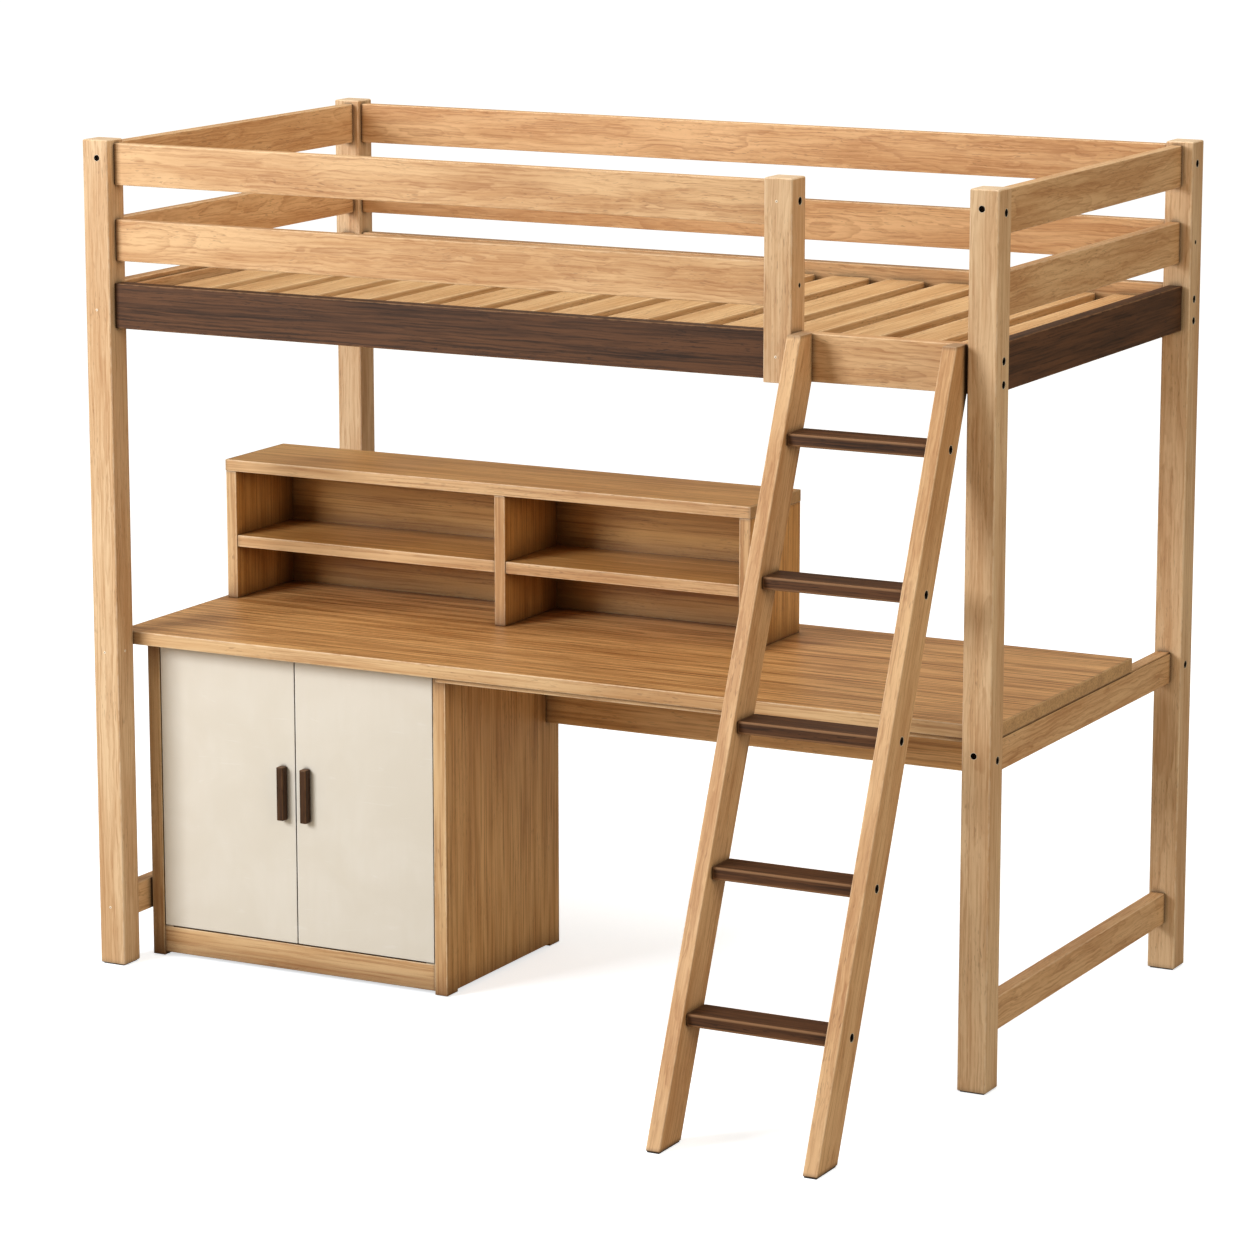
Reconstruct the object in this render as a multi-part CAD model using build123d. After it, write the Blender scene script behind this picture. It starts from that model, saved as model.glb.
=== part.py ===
from build123d import *
import os

# Loft bed with a desk, a hutch and a two-door cabinet underneath. Millimetres, +Z up.
# Layout frame used below: X from the left end, Y from the front post faces to the back, Z from the floor.
# Every node is shifted at export so that the origin is the middle of the footprint on the floor.

# ---- corner frame ----
LENGTH = 2100.0            # over the end posts
DEPTH = 1090.0             # over the front and back posts
HEIGHT = 1800.0
POST = 62.0                # square posts
PAD = 3.0                  # floor pads under posts and ladder

# ---- rails ----
GUARD_H = 88.0             # guard boards
GUARD_T = 24.0
GUARD_SET = 25.0           # guard face behind the post face
GUARD_UPPER_Z = 1704.0     # undersides
GUARD_LOWER_Z = 1543.0
BED_RAIL_H = 96.0
BED_RAIL_T = 32.0
BED_RAIL_SET = 18.0
BED_RAIL_Z = 1400.0
END_RAIL_H = 68.0          # desk end rail and floor stretchers
END_RAIL_T = 32.0
END_RAIL_SET = 24.0
REVEAL_IN, REVEAL_H = 3.0, 3.5   # shadow groove between the desk end rail and the desktop
STRETCHER_Z = 104.0

# ---- ladder opening ----
GUARD_POST_X = 1600.0      # left face of the short post beside the opening
GUARD_POST_BOTTOM = 1395.0

# ---- slats ----
SLAT_COUNT = 15
SLAT_W = 88.0
SLAT_T = 18.0
SLAT_PITCH = 132.0
SLAT_TOP = 1470.0
LEDGER_T = 28.0
SLAT_END = 14.0            # slat end to the long rail, clear of the short post
LEDGER_H = 42.0
LINER_T = 12.0

# ---- desk ----
DESK_TOP = 735.0
DESK_T = 29.0
DESK_BACK = 805.0
BATTEN_H = 11.0
APRON_Y = 557.0
APRON_T = 20.0
APRON_BOTTOM = 512.0
APRON_END = 1858.0         # the apron stops short of the end rail

# ---- hutch on the desk ----
HUTCH_X0, HUTCH_X1 = 39.0, 1340.0
HUTCH_Y0, HUTCH_Y1 = 478.0, 722.0
HUTCH_TOP = 1048.0
HUTCH_T = 26.0
HUTCH_DIVIDER_X = 723.0
HUTCH_SHELF_TOP = 878.0
HUTCH_BACK_T = 8.0

# ---- cabinet under the desk ----
CAB_X0, CAB_X1 = 62.0, 806.0
CAB_Y0, CAB_Y1 = 115.0, 615.0
CAB_SIDE_T = 30.0
CAB_PANEL_T = 18.0
CAB_FLOOR_TOP = 68.0       # top of the plinth and of the bottom panel
CAB_FOOT = 2.0             # thickness of the glides under the sides
CAB_ARCH = 8.0             # underside of the sides between their feet
CAB_SHELF_TOP = 390.0
PLINTH_BOTTOM = 10.0

# ---- doors ----
DOOR_T = 18.0
DOOR_GAP = 2.0
DOOR_BOTTOM, DOOR_TOP = 71.0, 702.0
PIVOT_IN = 4.5             # pivot axis from the door's front and outer faces
PIVOT_R = 2.0
PIVOT_CLEAR = 0.05
PIVOT_PLATE_T = 2.5
HANDLE_W, HANDLE_D, HANDLE_H = 16.0, 20.0, 118.0
HANDLE_Z = 345.0
HANDLE_IN = 21.0           # from the doors' meeting line to the handle

# ---- ladder ----
STRINGER_T = 30.0
STRINGER_RUN = 92.0        # stringer measured level, front to back
LADDER_SLOPE = 0.40        # level run for each unit of height
LADDER_TOP = 1498.0
LADDER_OUTER = 362.0
TREAD_D, TREAD_T = 79.0, 25.0
TREAD_NOSE = 13.0          # tread front behind the stringer front
TREAD_TOPS = (250.0, 516.0, 782.0, 1048.0, 1314.0)

# ---- bolts ----
BOLT_SIDE = 36.0           # bolt axis from the outer faces of a post
FACE_HEAD_R = 7.0          # heads in the front and back faces of the posts
SIDE_HEAD_R = 8.6          # heads in the end faces of the posts
TREAD_HEAD_R = 9.4         # heads in the ladder stringers
BIG_SHANK_R = 3.5
SMALL_HEAD_R, SMALL_SHANK_R = 5.0, 2.5
HEAD_H, HEAD_SINK = 5.0, 1.5
NUT_R, NUT_L = 5.0, 15.0
BORE_PLAY = 0.3

# ---- derived positions ----
RIGHT = LENGTH - POST
REAR = DEPTH - POST
DESK_BOTTOM = DESK_TOP - DESK_T
END_RAIL_Z = DESK_BOTTOM - END_RAIL_H
LADDER_X0 = (GUARD_POST_X + POST + RIGHT - LADDER_OUTER) / 2
LADDER_X1 = LADDER_X0 + LADDER_OUTER
DOOR_FRONT = CAB_Y0 + 1.0
DOOR_BACK = DOOR_FRONT + DOOR_T
MIN3 = (Align.MIN, Align.MIN, Align.MIN)


def stringer_front(z):
    """Y of the ladder stringers' front edge at height z."""
    return BED_RAIL_SET - STRINGER_RUN + LADDER_SLOPE * (z - BED_RAIL_Z)


FOOT_Y = stringer_front(0.0)
ORIGIN = (LENGTH / 2, (DEPTH + stringer_front(PAD)) / 2, 0.0)

nodes = {}      # node name -> list of solids
timber = []     # nodes that bolts are bored into


def bar(x0, x1, y0, y1, z0, z1, ease=2.0):
    """A board between two corners, with all its arrises eased."""
    b = Pos(x0, y0, z0) * Box(x1 - x0, y1 - y0, z1 - z0, align=MIN3)
    return fillet(b.edges(), ease) if ease else b


def add(name, *solids, wood=True):
    nodes[name] = list(solids)
    if wood:
        timber.append(name)


# ------------------------------------------------------------------ posts
def post(x, y, z0):
    b = Pos(x, y, z0) * Box(POST, POST, HEIGHT - z0, align=MIN3)
    b = fillet(b.edges().filter_by(Axis.Z), 4.0)
    b = chamfer(b.faces().sort_by(Axis.Z)[-1].edges(), 2.5)
    return chamfer(b.faces().sort_by(Axis.Z)[0].edges(), 1.5)


def make_posts():
    add("post_front_left", post(0, 0, PAD))
    add("post_front_right", post(RIGHT, 0, PAD))
    add("post_back_left", post(0, REAR, PAD))
    add("post_back_right", post(RIGHT, REAR, PAD))
    guard = post(GUARD_POST_X, 0, GUARD_POST_BOTTOM)
    # rebate across the back of the short post for the slat ledger that runs behind it
    ledger_y0 = BED_RAIL_SET + BED_RAIL_T
    ledger_z0 = SLAT_TOP - SLAT_T - LEDGER_H
    guard -= Pos(GUARD_POST_X - 1, ledger_y0, ledger_z0) * Box(POST + 2, 30, LEDGER_H, align=MIN3)
    add("guard_post_front", guard)


# ------------------------------------------------------------------ guards and bed rails
def make_guards():
    for level, z in (("upper", GUARD_UPPER_Z), ("lower", GUARD_LOWER_Z)):
        y0, y1 = GUARD_SET, GUARD_SET + GUARD_T
        add(f"guard_rail_front_{level}", bar(POST, GUARD_POST_X, y0, y1, z, z + GUARD_H, 2.5))
        add(f"guard_rail_back_{level}", bar(POST, RIGHT, DEPTH - y1, DEPTH - y0, z, z + GUARD_H, 2.5))
        add(f"guard_rail_left_{level}", bar(y0, y1, POST, REAR, z, z + GUARD_H, 2.5))
        add(f"guard_rail_right_{level}", bar(LENGTH - y1, LENGTH - y0, POST, REAR, z, z + GUARD_H, 2.5))


def make_bed_rails():
    a, b = BED_RAIL_SET, BED_RAIL_SET + BED_RAIL_T
    z0, z1 = BED_RAIL_Z, BED_RAIL_Z + BED_RAIL_H
    add("bed_rail_front", bar(POST, GUARD_POST_X, a, b, z0, z1))
    add("bed_rail_entry", bar(GUARD_POST_X + POST, RIGHT, a, b, z0, z1))
    add("bed_rail_back", bar(POST, RIGHT, DEPTH - b, DEPTH - a, z0, z1))
    add("bed_rail_left", bar(a, b, POST, REAR, z0, z1))
    add("bed_rail_right", bar(LENGTH - b, LENGTH - a, POST, REAR, z0, z1))
    # slat ledgers behind the long rails, facing strips on the inside of the end rails
    z_led = SLAT_TOP - SLAT_T
    add("slat_ledgers",
        bar(POST, RIGHT, b, b + LEDGER_T, z_led - LEDGER_H, z_led, 1.0),
        bar(POST, RIGHT, DEPTH - b - LEDGER_T, DEPTH - b, z_led - LEDGER_H, z_led, 1.0))
    y0, y1 = b + LEDGER_T, DEPTH - b - LEDGER_T
    add("bed_end_liners",
        bar(b, b + LINER_T, y0, y1, z0, z1 - 10, 1.0),
        bar(LENGTH - b - LINER_T, LENGTH - b, y0, y1, z0, z1 - 10, 1.0))


def make_slats():
    b = BED_RAIL_SET + BED_RAIL_T
    first = LENGTH / 2 - (SLAT_COUNT - 1) * SLAT_PITCH / 2
    slats = []
    for i in range(SLAT_COUNT):
        xc = first + i * SLAT_PITCH
        s = Pos(xc - SLAT_W / 2, b + SLAT_END, SLAT_TOP - SLAT_T) * Box(
            SLAT_W, DEPTH - 2 * (b + SLAT_END), SLAT_T, align=MIN3)
        s = fillet(s.edges().filter_by(Axis.Z), 6.0)
        slats.append(chamfer(s.faces().sort_by(Axis.Z)[-1].edges(), 1.5))
    add("slats", *slats, wood=False)


# ------------------------------------------------------------------ desk and end frames
def make_desk():
    x0, x1 = END_RAIL_SET, LENGTH - END_RAIL_SET
    add("desktop", bar(x0, x1, POST, DESK_BACK, DESK_BOTTOM, DESK_TOP, 1.5))
    rail = bar(x1 - END_RAIL_T, x1, POST, REAR, END_RAIL_Z, DESK_BOTTOM)
    groove = Pos(x1 - REVEAL_IN, POST - 1, DESK_BOTTOM - REVEAL_H) * Box(
        REVEAL_IN + 1, REAR - POST + 2, REVEAL_H + 1, align=MIN3)
    add("desk_end_rail", rail - groove)
    add("desk_front_batten",
        bar(CAB_X1, x1 - END_RAIL_T, POST + 12, POST + 52, DESK_BOTTOM - BATTEN_H, DESK_BOTTOM, 1.0))
    add("desk_apron",
        bar(CAB_X1, APRON_END, APRON_Y, APRON_Y + APRON_T, APRON_BOTTOM, DESK_BOTTOM, 1.0))
    add("desk_support_block", bar(22, 50, POST, POST + 14, DESK_BOTTOM - 42, DESK_BOTTOM, 1.0))
    z0, z1 = STRETCHER_Z, STRETCHER_Z + END_RAIL_H
    add("stretcher_left", bar(x0, x0 + END_RAIL_T, POST, REAR, z0, z1))
    add("stretcher_right", bar(x1 - END_RAIL_T, x1, POST, REAR, z0, z1))


# ------------------------------------------------------------------ hutch
def make_hutch():
    x0, x1, y0, y1, t = HUTCH_X0, HUTCH_X1, HUTCH_Y0, HUTCH_Y1, HUTCH_T
    z0, z1 = DESK_TOP, HUTCH_TOP - t
    inner_back = y1 - HUTCH_BACK_T
    dx = HUTCH_DIVIDER_X
    add("hutch_top", bar(x0 - 1, x1 + 1, y0 - 1, y1, z1, HUTCH_TOP, 1.2))
    add("hutch_side_left", bar(x0, x0 + t, y0, y1, z0, z1, 1.0))
    add("hutch_side_right", bar(x1 - t, x1, y0, y1, z0, z1, 1.0))
    add("hutch_divider", bar(dx, dx + t, y0, inner_back, z0, z1, 1.0))
    z_s = HUTCH_SHELF_TOP
    add("hutch_shelf_left", bar(x0 + t, dx, y0 + 2, inner_back, z_s - t, z_s, 1.0))
    add("hutch_shelf_right", bar(dx + t, x1 - t, y0 + 2, inner_back, z_s - t, z_s, 1.0))
    add("hutch_back", bar(x0 + t, x1 - t, inner_back, y1, z0, z1, 0.5))


# ------------------------------------------------------------------ cabinet
def cabinet_side(x0):
    s = bar(x0, x0 + CAB_SIDE_T, CAB_Y0, CAB_Y1, CAB_FOOT, DESK_BOTTOM, 1.0)
    arch = Pos(x0 - 1, CAB_Y0 + 45, 0) * Box(CAB_SIDE_T + 2, CAB_Y1 - CAB_Y0 - 88, CAB_ARCH, align=MIN3)
    return s - arch


def make_cabinet():
    xi0, xi1 = CAB_X0 + CAB_SIDE_T, CAB_X1 - CAB_SIDE_T
    add("cabinet_side_left", cabinet_side(CAB_X0))
    add("cabinet_side_right", cabinet_side(CAB_X1 - CAB_SIDE_T))
    add("cabinet_plinth", bar(xi0, xi1, DOOR_FRONT, DOOR_BACK, PLINTH_BOTTOM, CAB_FLOOR_TOP, 1.0))
    back_y = CAB_Y1 - 15
    add("cabinet_bottom",
        bar(xi0, xi1, DOOR_BACK, back_y, CAB_FLOOR_TOP - CAB_PANEL_T, CAB_FLOOR_TOP, 0.5))
    add("cabinet_back", bar(xi0, xi1, back_y, back_y + 8, CAB_FLOOR_TOP - CAB_PANEL_T, DESK_BOTTOM - 4, 0.5))
    add("cabinet_shelf",
        bar(xi0 + 1, xi1 - 1, DOOR_BACK + 14, back_y - 2, CAB_SHELF_TOP - CAB_PANEL_T, CAB_SHELF_TOP, 0.8))
    stop_y = DOOR_BACK + 2.5
    rail = bar(xi0, xi1, stop_y, stop_y + 20, DESK_BOTTOM - 66, DESK_BOTTOM, 0.8)
    plates = pivot_plates()
    for p in plates:
        rail -= p
    add("cabinet_top_rail", rail)
    add("door_pivot_plates", *plates, wood=False)
    # shelf pins under the loose shelf
    z_pin = CAB_SHELF_TOP - CAB_PANEL_T
    pins = []
    for y in (DOOR_BACK + 50, back_y - 50):
        for x, d in ((xi0, 1), (xi1, -1)):
            pins.append(Pos(x + d * 5, y, z_pin - 2.5) * Rot(0, 90, 0) * Cylinder(2.5, 10))
    add("shelf_pins", *pins, wood=False)
    # touch catches under the top rail, clear of the doors' backs
    mid = (xi0 + xi1) / 2
    z_c = DESK_BOTTOM - 66
    add("door_catches", *[bar(mid + s * 34 - 14, mid + s * 34 + 14, DOOR_BACK + 0.5, DOOR_BACK + 30,
                              z_c - 14, z_c, 1.0) for s in (-1, 1)], wood=False)


def pivot_xy():
    """Axes of the two doors' pivots."""
    xi0, xi1 = CAB_X0 + CAB_SIDE_T, CAB_X1 - CAB_SIDE_T
    return ((xi0 + DOOR_GAP + PIVOT_IN, 1), (xi1 - DOOR_GAP - PIVOT_IN, -1))


def pivot_plates():
    """Steel plate with an upright pin at the top and the bottom of each door's outer edge."""
    xi0, xi1 = CAB_X0 + CAB_SIDE_T, CAB_X1 - CAB_SIDE_T
    y = DOOR_FRONT + PIVOT_IN
    out = []
    for (x, d), edge in zip(pivot_xy(), (xi0, xi1)):
        lo, hi = sorted((edge, edge + d * 22))
        for z, up in ((CAB_FLOOR_TOP, 1), (DOOR_TOP + 0.5, -1)):
            plate = Pos(lo, DOOR_FRONT + 1, z) * Box(22, 36, PIVOT_PLATE_T, align=MIN3)
            z_pin = z + PIVOT_PLATE_T if up > 0 else z
            pin = Pos(x, y, z_pin + up * 3.5) * Cylinder(PIVOT_R, 9)
            out.append(plate + pin)
    return out


# ------------------------------------------------------------------ doors
def make_doors():
    xi0, xi1 = CAB_X0 + CAB_SIDE_T, CAB_X1 - CAB_SIDE_T
    mid = (xi0 + xi1) / 2
    spans = (("left", xi0 + DOOR_GAP, mid - DOOR_GAP / 2), ("right", mid + DOOR_GAP / 2, xi1 - DOOR_GAP))
    for (side, x0, x1), (px, _) in zip(spans, pivot_xy()):
        door = bar(x0, x1, DOOR_FRONT, DOOR_BACK, DOOR_BOTTOM, DOOR_TOP, 1.0)
        for z in (DOOR_BOTTOM + 4.5, DOOR_TOP - 4.5):
            door -= Pos(px, DOOR_FRONT + PIVOT_IN, z) * Cylinder(PIVOT_R + PIVOT_CLEAR, 11)
        add(f"door_{side}", door, wood=False)
        hx = mid - HANDLE_IN - HANDLE_W if side == "left" else mid + HANDLE_IN
        pull = Pos(hx, DOOR_FRONT - HANDLE_D, HANDLE_Z) * Box(HANDLE_W, HANDLE_D, HANDLE_H, align=MIN3)
        edges = [e for e in pull.edges() if e.center().Y < DOOR_FRONT - 0.1]
        add(f"door_handle_{side}", chamfer(edges, 1.8), wood=False)


# ------------------------------------------------------------------ ladder
def make_ladder():
    back = stringer_front(PAD) + STRINGER_RUN
    outline = [(stringer_front(PAD), PAD), (back, PAD), (BED_RAIL_SET, BED_RAIL_Z),
               (BED_RAIL_SET, LADDER_TOP), (stringer_front(LADDER_TOP), LADDER_TOP)]
    for side, x in (("left", LADDER_X0), ("right", LADDER_X1 - STRINGER_T)):
        face = Plane.YZ.offset(x) * make_face(Polyline(*outline, close=True))
        s = extrude(face, STRINGER_T)
        add(f"ladder_stringer_{side}", fillet(s.edges(), 2.0))
    xa, xb = LADDER_X0 + STRINGER_T, LADDER_X1 - STRINGER_T
    for i, z in enumerate(reversed(TREAD_TOPS), 1):
        y0 = stringer_front(z) + TREAD_NOSE
        add(f"ladder_tread_{i}", bar(xa, xb, y0, y0 + TREAD_D, z - TREAD_T, z, 2.0))


# ------------------------------------------------------------------ pads on the floor
def make_pads():
    pads = []
    for x in (0, RIGHT):
        for y in (0, REAR):
            pads.append(bar(x + 5, x + POST - 5, y + 5, y + POST - 5, 0, PAD, 0.8))
    for x in (LADDER_X0, LADDER_X1 - STRINGER_T):
        y0 = stringer_front(PAD)
        pads.append(bar(x + 2, x + STRINGER_T - 2, y0 + 3, y0 + STRINGER_RUN - 3, 0, PAD, 0.8))
    for x in (CAB_X0, CAB_X1 - CAB_SIDE_T):
        for y in (CAB_Y0 + 22, CAB_Y1 - 21):
            pads.append(Pos(x + CAB_SIDE_T / 2, y, CAB_FOOT / 2) * Cylinder(11, CAB_FOOT))
    add("floor_pads", *pads, wood=False)


# ------------------------------------------------------------------ bolts
# Each bolt: start point on the face it enters, direction, length, head radius, shank radius,
# distance from that face to its barrel nut (0 for none) and the underside of the board the nut drops into.
def bolt_list():
    face, side = (FACE_HEAD_R, BIG_SHANK_R), (SIDE_HEAD_R, BIG_SHANK_R)
    tread, small = (TREAD_HEAD_R, BIG_SHANK_R), (SMALL_HEAD_R, SMALL_SHANK_R)
    out = []

    def bolt(kind, x, y, z, direction, length, nut=0.0, nut_floor=0.0):
        out.append((kind, Vector(x, y, z), Vector(*direction), length, nut, nut_floor))

    front, rear = BOLT_SIDE, DEPTH - BOLT_SIDE
    left, right = BOLT_SIDE, LENGTH - BOLT_SIDE
    z_end, z_long = GUARD_UPPER_Z + 58, GUARD_UPPER_Z + 49
    z_low = GUARD_LOWER_Z + GUARD_H / 2
    # end guards and the desk end rail: bolts enter the posts from front and back
    for x in (left, right):
        bolt(face, x, 0, z_end, (0, 1, 0), 104, 92, GUARD_UPPER_Z)
        bolt(face, x, DEPTH, z_end, (0, -1, 0), 104, 92, GUARD_UPPER_Z)
    z_desk = END_RAIL_Z + 50
    bolt(face, right, 0, z_desk, (0, 1, 0), 104, 92, END_RAIL_Z)
    bolt(face, right, DEPTH, z_desk, (0, -1, 0), 104, 92, END_RAIL_Z)
    # long guards: bolts enter the posts from the ends
    for y in (front, rear):
        bolt(side, 0, y, z_long, (1, 0, 0), 104, 92, GUARD_UPPER_Z)
        bolt(small, 0, y, z_low, (1, 0, 0), 104, 92, GUARD_LOWER_Z)
    bolt(side, GUARD_POST_X + POST, front, z_long, (-1, 0, 0), 104, 92, GUARD_UPPER_Z)
    bolt(small, GUARD_POST_X + POST, front, z_low, (-1, 0, 0), 104, 92, GUARD_LOWER_Z)
    bolt(side, LENGTH, rear, z_long, (-1, 0, 0), 104, 92, GUARD_UPPER_Z)
    bolt(small, LENGTH, rear, z_low, (-1, 0, 0), 104, 92, GUARD_LOWER_Z)
    # bed rails: two bolts at each end of the long rails
    for z in (BED_RAIL_Z + 20, BED_RAIL_Z + 66):
        nut_z = BED_RAIL_Z if z < BED_RAIL_Z + 40 else 0.0
        for y in (front, rear):
            bolt(side, 0, y, z, (1, 0, 0), 104, 92 if nut_z else 0, nut_z)
            bolt(side, LENGTH, y, z, (-1, 0, 0), 104, 92 if nut_z else 0, nut_z)
    # bolts that close the unused bores of the right-hand posts
    bolt(side, LENGTH, front, z_long, (-1, 0, 0), 48)
    bolt(side, LENGTH, front, z_desk - 12, (-1, 0, 0), 48)
    bolt(side, LENGTH, rear, z_desk - 12, (-1, 0, 0), 48)
    # treads, bolted through the stringers
    for z in TREAD_TOPS:
        y = stringer_front(z) + TREAD_NOSE + TREAD_D / 2
        zc = z - TREAD_T / 2
        bolt(tread, LADDER_X0, y, zc, (1, 0, 0), 75)
        bolt(tread, LADDER_X1, y, zc, (-1, 0, 0), 75)
    # ladder head, bolted from inside through the entry rail
    inner = BED_RAIL_SET + BED_RAIL_T
    for x in (LADDER_X0 + STRINGER_T / 2, LADDER_X1 - STRINGER_T / 2):
        bolt(small, x, inner, SLAT_TOP + 13, (0, -1, 0), 62)
        bolt(small, x, inner + LEDGER_T, SLAT_TOP - SLAT_T - LEDGER_H / 2, (0, -1, 0), 92)
    return out


def along(start, direction):
    return Plane(origin=start, z_dir=direction).location


def make_bolts():
    big, small, nuts = [], [], []
    cutters = []
    for (head_r, shank_r), start, direction, length, nut, nut_floor in bolt_list():
        place = along(start, direction)
        top = HEAD_SINK + HEAD_H
        head = Pos(0, 0, HEAD_SINK) * Cylinder(head_r, HEAD_H, align=(Align.CENTER, Align.CENTER, Align.MIN))
        shank = Pos(0, 0, top) * Cylinder(shank_r, length - top, align=(Align.CENTER, Align.CENTER, Align.MIN))
        socket = Pos(0, 0, HEAD_SINK) * extrude(RegularPolygon(head_r * 0.52, 6), 3.0)
        solid = head + shank - socket
        (small if head_r in (SMALL_HEAD_R, TREAD_HEAD_R) else big).append(place * solid)
        cut = Cylinder(head_r + BORE_PLAY, 2 * top) + Cylinder(shank_r + BORE_PLAY, 2 * (length + 1))
        cutters.append(place * cut)
        if nut:
            p = start + direction * nut
            body = Pos(p.X, p.Y, p.Z) * Cylinder(NUT_R, NUT_L)
            hole = place * Cylinder(shank_r + 0.1, 3 * length)
            nuts.append(body - hole)
            z1 = p.Z + NUT_L / 2 + 0.5
            cutters.append(Pos(p.X, p.Y, nut_floor - 1) *
                           Cylinder(NUT_R + 0.15, z1 - nut_floor + 1, align=(Align.CENTER, Align.CENTER, Align.MIN)))
    boxes = [c.bounding_box() for c in cutters]
    for name in timber:
        bored = []
        for s in nodes[name]:
            bb = s.bounding_box()
            near = [c for c, cb in zip(cutters, boxes)
                    if cb.min.X < bb.max.X and cb.max.X > bb.min.X and cb.min.Y < bb.max.Y
                    and cb.max.Y > bb.min.Y and cb.min.Z < bb.max.Z and cb.max.Z > bb.min.Z]
            for c in near:
                s = s - c
            bored.append(s)
        nodes[name] = bored
    add("frame_bolts", *big, wood=False)
    add("rail_bolts", *small, wood=False)
    add("barrel_nuts", *nuts, wood=False)


# ------------------------------------------------------------------ build and export
make_posts()
make_guards()
make_bed_rails()
make_slats()
make_desk()
make_hutch()
make_cabinet()
make_doors()
make_ladder()
make_pads()
make_bolts()

os.makedirs("parts", exist_ok=True)
shift = Location((-ORIGIN[0], -ORIGIN[1], -ORIGIN[2]))
for name, solids in nodes.items():
    flat = [s for part in solids for s in part.solids()]
    shape = flat[0] if len(flat) == 1 else Compound(flat)
    export_step(shape.moved(shift), f"parts/{name}.step")
print(len(nodes), "nodes", "origin", ORIGIN, "foot", FOOT_Y)
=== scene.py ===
"""Loft bed with a desk, a hutch and a two-door cabinet: finishes, fittings and studio."""

import logging
import math
import random
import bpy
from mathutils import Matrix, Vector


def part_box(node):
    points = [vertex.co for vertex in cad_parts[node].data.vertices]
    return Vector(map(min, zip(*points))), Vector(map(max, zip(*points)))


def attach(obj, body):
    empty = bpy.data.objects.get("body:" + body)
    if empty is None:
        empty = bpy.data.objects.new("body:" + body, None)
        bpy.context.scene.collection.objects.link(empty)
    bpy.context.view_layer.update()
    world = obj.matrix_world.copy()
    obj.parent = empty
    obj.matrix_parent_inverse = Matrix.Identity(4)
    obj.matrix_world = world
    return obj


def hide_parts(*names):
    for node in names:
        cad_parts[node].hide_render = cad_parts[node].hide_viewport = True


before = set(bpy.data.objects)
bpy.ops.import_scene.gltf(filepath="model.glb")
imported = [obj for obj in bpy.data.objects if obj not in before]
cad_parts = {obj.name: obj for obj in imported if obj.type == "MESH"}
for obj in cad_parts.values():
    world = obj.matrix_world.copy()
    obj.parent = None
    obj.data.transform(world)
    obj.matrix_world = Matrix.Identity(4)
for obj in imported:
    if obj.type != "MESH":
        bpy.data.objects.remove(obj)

import zlib
from collections.abc import Sequence
from dataclasses import dataclass, field, replace
from enum import Enum
from typing import ClassVar

import bmesh
import bpy
from mathutils import Vector

LOG = logging.getLogger("loft_bed")
MM = 0.001
FRAME_BODY = "bed_frame"
WHITE = (1.0, 1.0, 1.0)
FLOAT, VECTOR, WHOLE = "NodeSocketFloat", "NodeSocketVector", "NodeSocketInt"
GEOMETRY, MATERIAL = "NodeSocketGeometry", "NodeSocketMaterial"

Colour = tuple[float, float, float]
Triple = tuple[float, float, float]
Socket = bpy.types.NodeSocket
Feed = Socket | float | int | str | bool | tuple | bpy.types.Material | None
Look = tuple[Socket, Socket, Socket]
Masks = dict[str, Feed] | bpy.types.NodeOutputs


def tint(red: int, green: int, blue: int) -> Colour:
    """Return the linear colour of a paint-card colour.

    Args:
        red: Red, 0 to 255.
        green: Green, 0 to 255.
        blue: Blue, 0 to 255.

    Returns:
        The same colour as linear values from 0 to 1.
    """
    steps = (value / 255.0 for value in (red, green, blue))
    return tuple(s / 12.92 if s <= 0.04045 else ((s + 0.055) / 1.055) ** 2.4 for s in steps)


def lot_number(name: str) -> int:
    """Return a fixed number for a piece's name, so its figure is the same on every run."""
    return zlib.crc32(name.encode())


# ---------------------------------------------------------------- node wiring


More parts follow.
